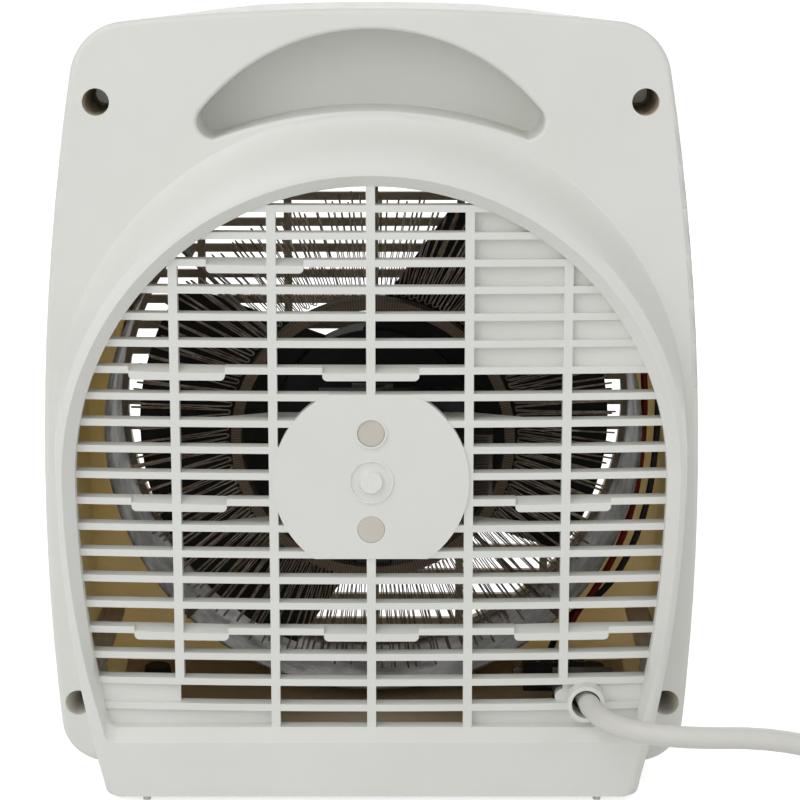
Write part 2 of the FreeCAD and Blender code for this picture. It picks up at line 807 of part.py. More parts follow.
FOOT_Y = "(%s - front_foot_setback)" % FRONT
SPINDLE_HOLE = "spindle_radius + spindle_hole_clearance"


def front_casing():
    outer = casing_solid("front_outer", PARTING, FRONT, "0", "front_edge_round", FRONT)
    inner = casing_solid("front_inner", PARTING, FRONT_INSIDE, "wall", "front_edge_round - wall",
                         FRONT_INSIDE)
    shell = cut("front_shell", outer, [inner])
    bounds = casing_solid("front_bounds", PARTING, FRONT, "0", "front_edge_round", FRONT)
    bosses = [rod("boss_%d" % i, PARTING, FRONT_INSIDE, "boss_radius", x, z)
              for i, (x, z) in enumerate(SCREWS)]
    ribs = []
    for i, side in enumerate((1, -1)):
        ends = ("top_screw_x", "casing_width / 2") if side > 0 else ("-casing_width / 2", "-top_screw_x")
        ribs.append(block("boss_rib_%d" % i, *ends, PARTING + " + wall", FRONT_INSIDE,
                          "top_screw_z - wall / 2", "top_screw_z + wall / 2"))
    kept = common("front_inserts", [fuse("front_bosses", bosses + ribs), bounds])
    holes = [rod("outlet_hole", PARTING, FRONT + " + wall", "outlet_radius")]
    pilot_end = PARTING + " + screw_length"
    holes += [rod("pilot_%d" % i, PARTING + " - wall", pilot_end, "screw_radius", x, z)
              for i, (x, z) in enumerate(SCREWS)]
    for side, name in (("", "right"), ("-", "left")):
        holes.append(rod("spindle_hole_" + name, PARTING, FRONT + " + wall", SPINDLE_HOLE,
                         side + "knob_x", "knob_z"))
        hole = body("foot_hole_" + name)
        profile = sketch(hole, "XY_Plane")
        circle(profile, side + "front_foot_x", FOOT_Y, "foot_neck_radius")
        pad(hole, profile, "casing_bottom + wall * 2")
        holes.append(hole)
    holes.append(rod("lamp_hole", PARTING, FRONT + " + wall", "lamp_radius", "0", "lamp_z"))
    whole = fuse("front_whole", [shell, kept])
    return node("front_casing", cut("front_casing", whole, holes))


OUTLET_BACK = "(%s - outlet_flange)" % FRONT_INSIDE
DUCT_REAR = "(%s - duct_length)" % OUTLET_BACK


def front_grille():
    """Round outlet grille: a flanged ring seated behind the front wall, with rows and columns of bars."""
    inner = "(outlet_radius - outlet_ring_width)"
    ring = sleeve("outlet_ring", OUTLET_BACK, FRONT, inner, "outlet_radius - fit_clearance")
    disc = sleeve("outlet_flange_disc", OUTLET_BACK, FRONT_INSIDE, inner,
                  "outlet_radius + outlet_flange_width")
    room = casing_solid("outlet_flange_room", PARTING, FRONT_INSIDE, "wall + fit_clearance",
                        "front_edge_round - wall", FRONT_INSIDE)
    flange = common("outlet_flange_trimmed", [disc, room])
    count = int(number("outlet_radius / outlet_bar_pitch"))
    bars = []
    for i in range(-count, count + 1):
        z = "(axis_height + %d * outlet_bar_pitch)" % i
        bars.append(block("outlet_row_%d" % (i + count), "-outlet_radius", "outlet_radius", FRONT_INSIDE,
                          FRONT, z + " - outlet_bar_height / 2", z + " + outlet_bar_height / 2"))
    for k in range(-2, 3):
        x = "%d * column_pitch" % k
        bars.append(block("outlet_column_%d" % (k + 2), x + " - column_width / 2",
                          x + " + column_width / 2", OUTLET_BACK, FRONT_INSIDE,
                          "axis_height - outlet_radius", "axis_height + outlet_radius"))
    field = rod("outlet_field", OUTLET_BACK, FRONT, inner + " + wall / 2")
    lattice = common("outlet_bars", [fuse("outlet_lattice", bars), field])
    return node("front_grille", fuse("front_grille", [ring, flange, lattice]))


def outlet_duct():
    """Thin steel tube with a rolled front flange that stands on the outlet grille's ring."""
    skin = "(duct_radius + duct_thickness)"
    duct = turned("outlet_duct", [
        (DUCT_REAR, "duct_radius"),
        (OUTLET_BACK, "duct_radius"),
        (OUTLET_BACK, skin + " + duct_thickness"),
        (OUTLET_BACK + " - duct_thickness", skin + " + duct_thickness"),
        (OUTLET_BACK + " - duct_thickness", skin),
        (DUCT_REAR, skin),
    ])
    return node("outlet_duct", duct)


# Motor on the hub posts: rear bracket, core, coil, front bracket, bearings, rotor and shaft

CORE_REAR = "(%s + bracket_thickness + bracket_gap)" % MOTOR_SEAT
CORE_FRONT = "(%s + core_length)" % CORE_REAR
FRONT_PLATE = "(%s + bracket_gap)" % CORE_FRONT
BORE = "(rotor_radius + air_gap)"
COIL_INNER = "(core_width / 2 + fit_clearance)"
LEG_START = "(core_width / 2 + core_window)"
LEG_END = "(%s + core_leg)" % LEG_START


def motor_core():
    """Laminated stack: a ring round the rotor with a side leg for the coil."""
    made = body("motor_core_body")
    profile = rear_view(made, CORE_REAR)
    low = "axis_height - core_height / 2"
    high = "axis_height + core_height / 2"
    rectangle(profile, "-core_width / 2", low, LEG_END, high)
    circle(profile, "0", "axis_height", BORE)
    rectangle(profile, "core_width / 2", low + " + core_leg", LEG_START, high + " - core_leg")
    pad(made, profile, "core_length", reverse=True)
    for z in MOTOR_SCREWS:
        hole = rear_view(made, CORE_REAR)
        circle(hole, "0", z, "screw_radius + fit_clearance")
        pocket(made, hole, "core_length", reverse=False)
    return node("motor_core", made)


def motor_coil():
    """The winding on the side leg, with an even wall of turns round it."""
    made = body("motor_coil_body")
    profile = sketch(made, "XY_Plane", z="axis_height - coil_height / 2")
    gap = "fit_clearance"
    rectangle(profile, COIL_INNER, CORE_REAR + " - coil_wall", LEG_END + " + coil_wall",
              CORE_FRONT + " + coil_wall")
    rectangle(profile, LEG_START + " - " + gap, CORE_REAR + " - " + gap, LEG_END + " + " + gap,
              CORE_FRONT + " + " + gap)
    pad(made, profile, "coil_height")
    return node("motor_coil", made)


def motor_bracket(label, plate, sign, cup_end):
    """A strap across the core with a cup for its bearing and two feet on the core."""
    made = body(label + "_body")
    profile = rear_view(made, plate)
    half = "core_height / 2"
    rectangle(profile, "-bracket_width / 2", "axis_height - " + half,
              "bracket_width / 2", "axis_height + " + half)
    pad(made, profile, "bracket_thickness", reverse=True)
    pieces = [made]
    face = plate + " + bracket_thickness" if sign > 0 else plate
    core = CORE_REAR if sign > 0 else CORE_FRONT
    near, far = (face, core) if sign > 0 else (core, face)
    for i, z in enumerate(MOTOR_SCREWS):
        pieces.append(rod("%s_foot_%d" % (label, i), near, far,
                          "bracket_width / 4 + screw_radius / 2", z=z))
    low, high = (cup_end, plate) if sign > 0 else (plate + " + bracket_thickness", cup_end)
    pieces.append(rod(label + "_cup", low, high, "bearing_radius + cup_wall"))
    holes = [rod("%s_hole_%d" % (label, i), plate + " - wall * 4", plate + " + wall * 4",
                 "screw_radius + fit_clearance / 3", z=z) for i, z in enumerate(MOTOR_SCREWS)]
    holes.append(rod(label + "_bore", plate + " - motor_standoff", plate + " + motor_standoff",
                     "bearing_radius"))
    return node(label, cut(label, fuse(label + "_blank", pieces), holes))


REAR_CUP = "(%s + bracket_thickness - bearing_length)" % MOTOR_SEAT
FRONT_CUP = "(%s + bearing_length)" % FRONT_PLATE


def motor_bearings():
    bore = "shaft_radius + running_clearance"
    rear = sleeve("rear_bearing", REAR_CUP, REAR_CUP + " + bearing_length", bore, "bearing_radius")
    front = sleeve("front_bearing", FRONT_PLATE, FRONT_CUP, bore, "bearing_radius")
    return node("motor_bearings", group("motor_bearings", [rear, front]))


FAN_REAR = "(%s + fan_setback)" % DUCT_REAR
FAN_FRONT = "(%s + fan_hub_depth)" % FAN_REAR
SHAFT_REAR = "(%s - shaft_radius / 2)" % REAR_CUP
SHAFT_FRONT = "(%s + nut_height)" % FAN_FRONT
ROTOR_REAR = "((%s + %s - rotor_length) / 2)" % (CORE_REAR, CORE_FRONT)


def rotating_parts():
    node("motor_shaft", rod("motor_shaft", SHAFT_REAR, SHAFT_FRONT, "shaft_radius"))
    node("motor_rotor", sleeve("motor_rotor", ROTOR_REAR, ROTOR_REAR + " + rotor_length",
                               "shaft_radius", "rotor_radius"))
    node("fan_nut", sleeve("fan_nut", FAN_FRONT, SHAFT_FRONT, "shaft_radius", "nut_radius"))


def fan():
    """Two broad pitched blades on a cupped hub."""
    hub = turned("fan_hub", [
        (FAN_REAR, "shaft_radius"),
        (FAN_FRONT, "shaft_radius"),
        (FAN_FRONT, "fan_boss_radius"),
        (FAN_REAR + " + fan_hub_wall", "fan_boss_radius"),
        (FAN_REAR + " + fan_hub_wall", "fan_hub_radius - fan_hub_wall"),
        (FAN_FRONT, "fan_hub_radius - fan_hub_wall"),
        (FAN_FRONT, "fan_hub_radius"),
        (FAN_REAR, "fan_hub_radius"),
    ])
    blades = []
    for i in range(2):
        made = body("blade_%d" % i)
        profile = sketch(made, "XY_Plane")
        reach = "(fan_radius * blade_overreach)"
        wide = "%s * sin(blade_half_angle * 1deg)" % reach
        tall = "%s * cos(blade_half_angle * 1deg)" % reach
        root = "(fan_hub_radius * blade_root_share)"
        outline(profile, [
            ("-fan_hub_radius", root),
            ("fan_hub_radius", root),
            (wide, tall, reach, -1),
            ("-" + wide, tall),
        ])
        pad(made, profile, "blade_thickness")
        spin = number("blade_centre_angle") + 180 * i - 90
        tilt = FreeCAD.Rotation(V(0, 1, 0), number("blade_pitch_angle"))
        stand = FreeCAD.Rotation(V(1, 0, 0), 90)
        turn = FreeCAD.Rotation(V(0, -1, 0), spin)
        middle = (number(FAN_REAR) + number(FAN_FRONT)) / 2
        lean = turn.multiply(stand).multiply(tilt)
        made.Placement = FreeCAD.Placement(V(0, middle, number("axis_height")), lean)
        blades.append(made)
    swept = sleeve("fan_swept", FAN_REAR + " - fan_setback / 2", FAN_FRONT + " + fan_setback / 2",
                   "fan_hub_radius - fan_hub_wall / 2", "fan_radius")
    trimmed = common("fan_blades", [fuse("fan_blanks", blades), swept])
    return node("fan", fuse("fan", [hub, trimmed]))


def motor_fasteners():
    screws = [turned("motor_screw_%d" % i, [
        (CAP_SEAT, "0"),
        (FRONT_PLATE + " + bracket_thickness", "0"),
        (FRONT_PLATE + " + bracket_thickness", "screw_radius"),
        (HEAD_SEAT, "screw_radius"),
        (HEAD_SEAT, "screw_head_radius"),
        (CAP_SEAT, "screw_head_radius"),
    ], z=z) for i, z in enumerate(MOTOR_SCREWS)]
    node("motor_screws", group("motor_screws", screws))
    caps = [rod("motor_cap_%d" % i, HUB_FACE, CAP_SEAT, "cap_radius", z=z)
            for i, z in enumerate(MOTOR_SCREWS)]
    node("motor_screw_caps", group("motor_screw_caps", caps))


# Heating element on a mica frame at the rear edge of the duct

PLATE_FRONT = "(%s - element_gap)" % DUCT_REAR
PLATE_REAR = "(%s - plate_width)" % PLATE_FRONT
BAND_SKIN = "(band_radius + band_thickness)"


def element_frame():
    """An inner mica band and radial plates whose tongues lap inside the duct."""
    band = sleeve("element_band", PLATE_FRONT + " - band_width", PLATE_FRONT, "band_radius", BAND_SKIN)
    plates = []
    count = int(number("frame_plates"))
    for i in range(count):
        made = body("mica_plate_%d" % i)
        profile = sketch(made, "XY_Plane", z="-plate_thickness / 2")
        tip = "(duct_radius - fit_clearance)"
        outline(profile, [
            (BAND_SKIN + " - band_thickness / 2", PLATE_REAR),
            (tip, PLATE_REAR),
            (tip, DUCT_REAR + " + plate_lap"),
            (tip + " - plate_lap_width", DUCT_REAR + " + plate_lap"),
            (tip + " - plate_lap_width", PLATE_FRONT),
            (BAND_SKIN + " - band_thickness / 2", PLATE_FRONT),
        ])
        pad(made, profile, "plate_thickness")
        angle = 360.0 * (i + 0.5) / count
        turn = FreeCAD.Rotation(V(0, -1, 0), angle)
        made.Placement = FreeCAD.Placement(V(0, 0, number("axis_height")), turn)
        plates.append(made)
    return node("element_frame", fuse("element_frame", [band] + plates))


def ribbon(points, width):
    """The outline of a strip of even width along a run of points in the rear view."""
    left = []
    right = []
    for i, point in enumerate(points):
        before = (point - points[i - 1]).normalize() if i else None
        after = (points[i + 1] - point).normalize() if i + 1 < len(points) else None
        along = before if after is None else after if before is None else (before + after).normalize()
        side = V(-along.z, 0, along.x)
        stretch = 1.0 if before is None or after is None else 1.0 / max(along.dot(after), 0.5)
        left.append(point + side * (width / 2 * stretch))
        right.append(point - side * (width / 2 * stretch))
    corners = left + right[::-1]
    return Part.Face(Part.makePolygon(corners + corners[:1]))


def element_wire(label, depth, phase):
    """One heating circuit: hairpins of resistance wire that zigzag round the frame in one plane."""
    count = int(number("wire_hairpins"))
    inner = number("wire_inner_radius")
    outer = number("wire_outer_radius")
    middle = V(0, number(depth), number("axis_height"))
    points = []
    for i in range(2 * count - 2):
        angle = math.radians(-90 + phase + 360.0 * (i + 1) / (2 * count))
        along = V(math.cos(angle), 0, math.sin(angle))
        ends = (inner, outer) if i % 2 == 0 else (outer, inner)
        points += [middle + along * ends[0], middle + along * ends[1]]
    made = doc.addObject("Part::Feature", label)
    made.Shape = ribbon(points, number("wire_width")).extrude(V(0, number("wire_width"), 0))
    return node(label, made)


def thermal_cutout():
    low = "axis_height - band_radius + fit_clearance * 4"
    return node("thermal_cutout", block("thermal_cutout", "-cutout_width / 2", "cutout_width / 2",
                                        PLATE_FRONT + " - cutout_depth", PLATE_FRONT,
                                        low, low + " + cutout_height"))


# Controls on the front: thermostat and selector, each a body, a spindle and a knob

SPINDLE_REAR = "(%s - control_depth)" % FRONT_INSIDE


def control(name, x):
    """A control unit behind the front wall, with its spindle and its knob."""
    unit = block(name + "_unit", x + " - control_width / 2", x + " + control_width / 2",
                 SPINDLE_REAR, FRONT_INSIDE,
                 "knob_z - control_height / 2", "knob_z + control_height / 2")
    bore_end = SPINDLE_REAR + " + wall"
    bore = rod(name + "_bore", bore_end, FRONT, "spindle_radius + running_clearance", x, "knob_z")
    node(name + "_body", cut(name + "_body", unit, [bore]))
    node(name + "_spindle", rod(name + "_spindle", bore_end + " + knob_gap", KNOB_FACE + " - knob_wall",
                                "spindle_radius", x, "knob_z"))
    back = FRONT + " + knob_gap"
    hollow_end = KNOB_FACE + " - knob_wall * 2 - knob_grip_depth / 2"
    scoop_end = KNOB_FACE + " - knob_grip_depth / 2"
    shell = turned(name + "_knob_shell", [
        (back, "spindle_radius"),
        (KNOB_FACE + " - knob_wall", "spindle_radius"),
        (KNOB_FACE + " - knob_wall", "0"),
        (KNOB_FACE, "0"),
        (KNOB_FACE, "knob_radius - knob_wall"),
        (KNOB_FACE + " - knob_wall", "knob_radius - knob_wall / 2"),
        (back, "knob_radius"),
        (back, "knob_radius - knob_wall"),
        (hollow_end, "knob_radius - knob_wall"),
        (hollow_end, "spindle_radius + knob_wall"),
        (back, "spindle_radius + knob_wall"),
    ], x, "knob_z")
    scoops = []
    for i, side in enumerate((1, -1)):
        near = "%s + %d * knob_grip_width / 2" % (x, side)
        far = "%s + %d * knob_radius" % (x, side)
        ends = (near, far) if side > 0 else (far, near)
        scoops.append(block("%s_scoop_%d" % (name, i), *ends, scoop_end, KNOB_FACE + " + wall",
                            "knob_z - knob_radius", "knob_z + knob_radius"))
    node(name + "_knob", cut(name + "_knob", shell, scoops))


def indicator():
    lens = turned("indicator_lens", [
        (FRONT_INSIDE + " - control_depth / 2", "0"),
        (FRONT + " + lens_lip", "0"),
        (FRONT + " + lens_lip", "lamp_radius - lens_lip"),
        (FRONT + " + lens_lip / 2", "lamp_radius - fit_clearance"),
        (FRONT_INSIDE, "lamp_radius - fit_clearance"),
        (FRONT_INSIDE, "lamp_radius + lens_lip"),
        (FRONT_INSIDE + " - lens_lip", "lamp_radius + lens_lip"),
        (FRONT_INSIDE + " - lens_lip", "lamp_radius - fit_clearance"),
        (FRONT_INSIDE + " - control_depth / 2", "lamp_radius - fit_clearance"),
    ], "0", "lamp_z")
    return node("indicator_lens", lens)


# Fasteners, feet, terminal block and cord clamp

def case_screws():
    made = [turned("case_screw_%d" % i, [
        (WELL_FLOOR + " - screw_head_height", "0"),
        (PARTING + " + screw_length - wall", "0"),
        (PARTING + " + screw_length - wall", "screw_radius"),
        (WELL_FLOOR, "screw_radius"),
        (WELL_FLOOR, "screw_head_radius"),
        (WELL_FLOOR + " - screw_head_height", "screw_head_radius"),
    ], x, z) for i, (x, z) in enumerate(SCREWS)]
    return node("case_screws", group("case_screws", made))


def front_feet():
    """Rubber feet pushed through the floor of the front casing."""
    feet = []
    for side, name in (("", "right"), ("-", "left")):
        made = body("front_foot_" + name)
        profile = sketch(made, "XZ_Plane", x=side + "front_foot_x", z="-(%s)" % FOOT_Y)
        outline(profile, [
            ("0", "0"),
            ("front_foot_radius - wall / 2", "0"),
            ("front_foot_radius", "casing_bottom"),
            ("foot_neck_radius", "casing_bottom"),
            ("foot_neck_radius", FLOOR_INSIDE),
            ("foot_head_radius", FLOOR_INSIDE),
            ("foot_neck_radius", FLOOR_INSIDE + " + foot_head_height"),
            ("0", FLOOR_INSIDE + " + foot_head_height"),
        ])
        turn = made.newObject("PartDesign::Revolution", made.Name + "_turn")
        turn.Profile = profile
        turn.ReferenceAxis = (profile, ["V_Axis"])
        turn.Angle = 360
        feet.append(made)
    return node("front_feet", group("front_feet", feet))


BLOCK_REAR = "(%s - block_setback - block_depth)" % FRONT


def terminal_block():
    made = block("terminal_block", "block_x - block_width / 2", "block_x + block_width / 2",
                 BLOCK_REAR, BLOCK_REAR + " + block_depth", FLOOR_INSIDE, FLOOR_INSIDE + " + block_height")
    return node("terminal_block", made)


def cord_clamp():
    """A saddle inside the cord entry, held by two screws."""
    made = block("clamp_saddle", "entry_x - clamp_width / 2", "entry_x + clamp_width / 2",
                 CLAMP_SEAT, CLAMP_FRONT,
                 "entry_z - clamp_height / 2", "entry_z + clamp_height / 2")
    through = (CLAMP_SEAT + " - wall", CLAMP_FRONT + " + wall")
    holes = [rod("clamp_bore", *through, "cord_radius + fit_clearance", "entry_x", "entry_z")]
    holes += [rod("clamp_hole_%d" % i, *through, "clamp_screw_radius + fit_clearance", x, "entry_z")
              for i, x in enumerate(CLAMP_SCREWS)]
    node("cord_clamp", cut("cord_clamp", made, holes))
    screws = [turned("clamp_screw_%d" % i, [
        (BLANK_FRONT, "0"),
        (CLAMP_FRONT + " + clamp_screw_radius", "0"),
        (CLAMP_FRONT + " + clamp_screw_radius", "clamp_screw_radius * 2"),
        (CLAMP_FRONT, "clamp_screw_radius * 2"),
        (CLAMP_FRONT, "clamp_screw_radius"),
        (BLANK_FRONT, "clamp_screw_radius"),
    ], x, "entry_z") for i, x in enumerate(CLAMP_SCREWS)]
    node("clamp_screws", group("clamp_screws", screws))


# Cords and leads: straight runs joined by tangent arcs

def rounded_route(points):
    """Edges through a route, each corner an arc as large as its two runs allow; prints the radii."""
    edges = []
    radii = []
    start = points[0]
    for before, corner, after in zip(points, points[1:], points[2:]):
        run_in = (corner - before)
        run_out = (after - corner)
        turn = run_in.getAngle(run_out)
        reach = 0.45 * min(run_in.Length, run_out.Length)
        radii.append(reach / math.tan(turn / 2))
        into = V(run_in).normalize()
        out = V(run_out).normalize()
        arc_start = corner - into * reach
        arc_end = corner + out * reach
        inward = (out - into).normalize()
        depth = radii[-1] / math.cos(turn / 2) - radii[-1]
        edges.append(Part.LineSegment(start, arc_start).toShape())
        edges.append(Part.Arc(arc_start, corner + inward * depth, arc_end).toShape())
        start = arc_end
    edges.append(Part.LineSegment(start, points[-1]).toShape())
    return edges, radii


def tube_along(edges, radius):
    """A round tube along a chain of edges."""
    path = Part.Wire(edges)
    first = edges[0]
    place = first.valueAt(first.FirstParameter)
    along = first.tangentAt(first.FirstParameter)
    ring = Part.Wire([Part.Circle(place, along, radius).toShape()])
    return path.makePipeShell([ring], True, False), path.Length


def tube_shape(label, points, radius):
    edges, radii = rounded_route(points)
    solid, length = tube_along(edges, radius)
    share = solid.Volume / (math.pi * radius ** 2 * length)
    rounds = [round(r, 1) for r in radii]
    print("%s: length %.1f, radii %s, volume share %.4f" % (label, length, rounds, share))
    return solid


def free_tube(label, points, radius):
    made = doc.addObject("Part::Feature", label)
    made.Shape = tube_shape(label, points, radius)
    return node(label, made)


def cord_route():
    """Hand-chosen points from the clamp, round to the side, down to the floor and to the coil."""
    x = number("entry_x")
    z = number("entry_z")
    rear = number(BARS)
    floor = number("coil_base")
    end = number("coil_centre_x") - 2 * number("cord_radius")
    return [
        V(x, number(CLAMP_FRONT), z),
        V(x, rear - 10.0, z),
        V(x + 10.5, rear - 28.2, z),
        V(x + 28.7, rear - 38.7, z),
        V(x + 54.7, rear - 40.5, z),
        V(x + 77.7, rear - 38.0, z - 7.0),
        V(x + 95.7, rear - 32.5, z - 20.5),
        V(end - 17.0, rear - 29.0, floor),
        V(end, rear - 29.0, floor),
    ]


def arc_towards(start, tangent, end):
    """Arc from a point along a tangent to a second point."""
    chord = end - start
    along = V(chord).normalize()
    lean = tangent - along * tangent.dot(along)
    if lean.Length < 1e-6:
        return Part.LineSegment(start, end).toShape()
    half_turn = tangent.getAngle(along)
    middle = (start + end) / 2 + lean.normalize() * (chord.Length / 2 * math.tan(half_turn / 2))
    return Part.Arc(start, middle, end).toShape()


def biarc(start, tangent, end, end_tangent):
    """Two arcs that join two points with given tangents."""
    chord = end - start
    both = tangent + end_tangent
    spread = 2 * (1 - tangent.dot(end_tangent))
    lead = chord.dot(both)
    reach = (-lead + math.sqrt(lead ** 2 + spread * chord.dot(chord))) / spread
    joint = (start + tangent * reach + end - end_tangent * reach) / 2
    second = arc_towards(end, end_tangent * -1, joint)
    return [arc_towards(start, tangent, joint), reversed_edge(second)]


def reversed_edge(edge):
    ends = (edge.FirstParameter, edge.LastParameter)
    middle = edge.valueAt(sum(ends) / 2)
    first = edge.valueAt(ends[0])
    last = edge.valueAt(ends[1])
    if edge.Curve.TypeId == "Part::GeomLine":
        return Part.LineSegment(last, first).toShape()
    return Part.Arc(last, middle, first).toShape()


def coil_place(turn_quarters, centre):
    """Place on the coil's centre line: in on the lower layer, up in half a turn, out on the upper one."""
    quarters_in = number("coil_quarters_in")
    climb = 2.0
    step = number("coil_step") / 4
    angle = math.radians(-90 + 90 * turn_quarters)
    inner = number("coil_outer_radius") - step * quarters_in
    base = number("coil_base")
    if turn_quarters <= quarters_in:
        radius = number("coil_outer_radius") - step * turn_quarters
        height = base
    elif turn_quarters <= quarters_in + climb:
        part = (turn_quarters - quarters_in) / climb
        radius = inner - number("coil_dip") * math.sin(math.pi * part) ** 2
        height = base + number("coil_layer") * (3 * part ** 2 - 2 * part ** 3)
    else:
        radius = inner + step * (turn_quarters - quarters_in - climb)
        height = base + number("coil_layer")
    return centre + V(radius * math.cos(angle), radius * math.sin(angle), height)


def coil_centre():
    route_end = cord_route()[-1]
    return V(number("coil_centre_x"), route_end.y + number("coil_outer_radius"), 0)


def coil_tangent(place, quarters, first, last, climbing):
    """Tangent square to the radius where the tube starts, ends or changes layer; else along the spiral."""
    small = 0.02
    tangent = (place(quarters + small) - place(quarters - small)).normalize()
    if quarters in (first, last) or quarters in climbing:
        angle = math.radians(90 * quarters)
        tangent = V(math.cos(angle), math.sin(angle), 0)
    return tangent


def cord_coil():
    """The stored length of the cord, one unbroken tube in two layers of turns."""
    centre = coil_centre()
    quarters_in = int(number("coil_quarters_in"))
    total = quarters_in + 2 + int(number("coil_quarters_out"))
    climbing = (quarters_in, quarters_in + 2)

    def place(quarters):
        return coil_place(quarters, centre)

    straight = 2 * number("cord_radius")
    start = place(0)
    edges = [Part.LineSegment(start - V(straight, 0, 0), start).toShape()]
    for quarters in range(total):
        edges += biarc(place(quarters), coil_tangent(place, quarters, 0, total, climbing),
                       place(quarters + 1), coil_tangent(place, quarters + 1, 0, total, climbing))
    end = place(total)
    out = coil_tangent(place, total, 0, total, climbing)
    tail = end + out * number("coil_lead_out")
    edges.append(Part.LineSegment(end, tail).toShape())
    radius = number("cord_radius")
    solid, length = tube_along(edges, radius)
    share = solid.Volume / (math.pi * radius ** 2 * length)
    samples = []
    for edge in edges:
        for k in range(6):
            span = edge.LastParameter - edge.FirstParameter
            samples.append(edge.valueAt(edge.FirstParameter + span * k / 6))
    apart = [a.distanceToPoint(b) for i, a in enumerate(samples) for b in samples[i + 20:]]
    gap = min(apart) - 2 * radius
    print("cord_coil: length %.1f, volume share %.4f, least gap %.2f" % (length, share, gap))
    made = doc.addObject("Part::Feature", "cord_coil")
    made.Shape = solid
    node("cord_coil", made)
    return tail


def cord_tie():
    """A flat band round one side of the coil."""
    centre = coil_centre()
    step = number("coil_step")
    radius = number("cord_radius") + number("tie_clearance")
    inner = number("coil_outer_radius") - step * number("coil_quarters_in") / 4 - number("coil_dip")
    reach_in = centre.y + inner - radius
    reach_out = centre.y + number("coil_outer_radius") - step / 2 + radius
    low = number("coil_base") - radius
    high = number("coil_base") + number("coil_layer") + radius
    thick = number("tie_thickness")
    width = number("tie_width")
    start = centre.x - width / 2
    outer = Part.makeBox(width, reach_out - reach_in + 2 * thick, high - low + 2 * thick,
                         V(start, reach_in - thick, low - thick))
    rims = [e for e in outer.Edges if abs(e.Vertexes[0].X - e.Vertexes[-1].X) > thick]
    outer = outer.makeFillet(number("cord_radius"), rims)
    hole = Part.makeBox(width, reach_out - reach_in, high - low, V(start, reach_in, low))
    hole = hole.makeFillet(number("cord_radius") - thick,
                           [e for e in hole.Edges if abs(e.Vertexes[0].X - e.Vertexes[-1].X) > thick])
    made = doc.addObject("Part::Feature", "cord_tie")
    made.Shape = outer.cut(hole)
    return node("cord_tie", made)


def plug(tail):
    """Two-pin contour plug lying on the floor, with its tapered tail towards the coil."""
    tail_end = tail.y + number("plug_tail_length")
    face = tail_end + number("plug_body_length")
    made = body("plug_shell")
    sections = [
        (tail.y, "plug_tail_radius", "plug_tail_radius"),
        (tail_end, "plug_width / 3", "plug_thickness / 3"),
        (tail_end + number("plug_body_length * plug_waist_share"), "plug_width / 2", "plug_thickness / 2"),
        (face, "plug_width / 2", "plug_thickness / 2"),
    ]
    profiles = []
    for depth, half_wide, half_tall in sections:
        profile = sketch(made, "XZ_Plane", x=str(tail.x), y=str(tail.z), z=str(-depth))
        shoulder = "((%s) * plug_flat_share)" % half_wide
        top = "(%s)" % half_tall
        side = "((%s) * plug_side_share)" % half_tall
        wide = "(%s)" % half_wide
        outline(profile, [
            (shoulder, "-" + top), (wide, "-" + side), (wide, side), (shoulder, top),
            ("-" + shoulder, top), ("-" + wide, side), ("-" + wide, "-" + side),
            ("-" + shoulder, "-" + top),
        ])
        profiles.append(profile)
    loft = made.newObject("PartDesign::AdditiveLoft", "plug_loft")
    loft.Profile = profiles[0]
    loft.Sections = profiles[1:]
    loft.Ruled = True
    node("plug_body", made)
    pins = [rod("plug_pin_%d" % i, str(face), "%s + pin_length" % face, "pin_radius",
                "%s + %d * pin_spacing / 2" % (tail.x, side), str(tail.z))
            for i, side in enumerate((-1, 1))]
    node("plug_pins", group("plug_pins", pins))


def leads():
    """Insulated leads: supply pair from the clamp to the block, and two that climb outside the duct."""
    x = number("block_x")
    rear = number(BLOCK_REAR)
    top = number(FLOOR_INSIDE) + number("block_height")
    entry = V(number("entry_x"), number(CLAMP_FRONT), number("entry_z"))
    radius = number("lead_radius")
    made = []
    for i, side in enumerate((-1, 1)):
        shift = V(side * 1.6, 0, 0)
        points = [entry + shift, entry + V(0, 15, -2) + shift, V(x + 2, rear - 26, top + 1) + shift,
                  V(x, rear - 12, top - 5) + shift * 2, V(x, rear, top - 6) + shift * 2]
        made.append(tube_shape("supply_lead_%d" % i, points, radius))
    pair = doc.addObject("Part::Feature", "supply_leads")
    pair.Shape = Part.makeCompound(made)
    node("supply_leads", pair)
    shell = number("casing_width") / 2 - number("wall")
    foot = number("axis_height")
    back = number(SPINDLE_REAR)
    for label, shift in (("red_lead", 0.0), ("dark_lead", 5.0)):
        depth = rear + 7.0 + shift
        free_tube(label, [
            V(x + 4 - shift, depth, top), V(x + 5 - shift * 0.4, depth - 0.4, top + 13),
            V(shell - 20.5, depth - 3, foot - 62), V(shell - 9.0, depth - 6, foot - 36),
            V(shell - 5.0, depth - 8, foot - 6), V(shell - 5.4, depth - 8, foot + 26),
            V(shell - 12.5, depth - 4, foot + 56), V(shell - 24.0, back - 20 + shift, foot + 82),
            V(number("knob_x") + 4 + shift, back - 14, number("knob_z") - 12.5),
            V(number("knob_x") + 2 + shift, back, number("knob_z") - 4.5),
        ], radius)


rear_cover()
front_casing()
front_grille()
outlet_duct()
motor_core()
motor_coil()
motor_bracket("motor_rear_bracket", MOTOR_SEAT, 1, REAR_CUP)
motor_bracket("motor_front_bracket", FRONT_PLATE, -1, FRONT_CUP)
motor_bearings()
rotating_parts()
fan()
motor_fasteners()
element_frame()
element_wire("element_wire_rear", PLATE_REAR + " - wire_width", 0.0)
element_wire("element_wire_front", PLATE_FRONT, 2.0)
thermal_cutout()
control("thermostat", "knob_x")
control("selector", "-knob_x")
indicator()
case_screws()
front_feet()
terminal_block()
cord_clamp()
free_tube("power_cord", cord_route(), number("cord_radius"))
plug(cord_coil())
cord_tie()
leads()
doc.recompute()

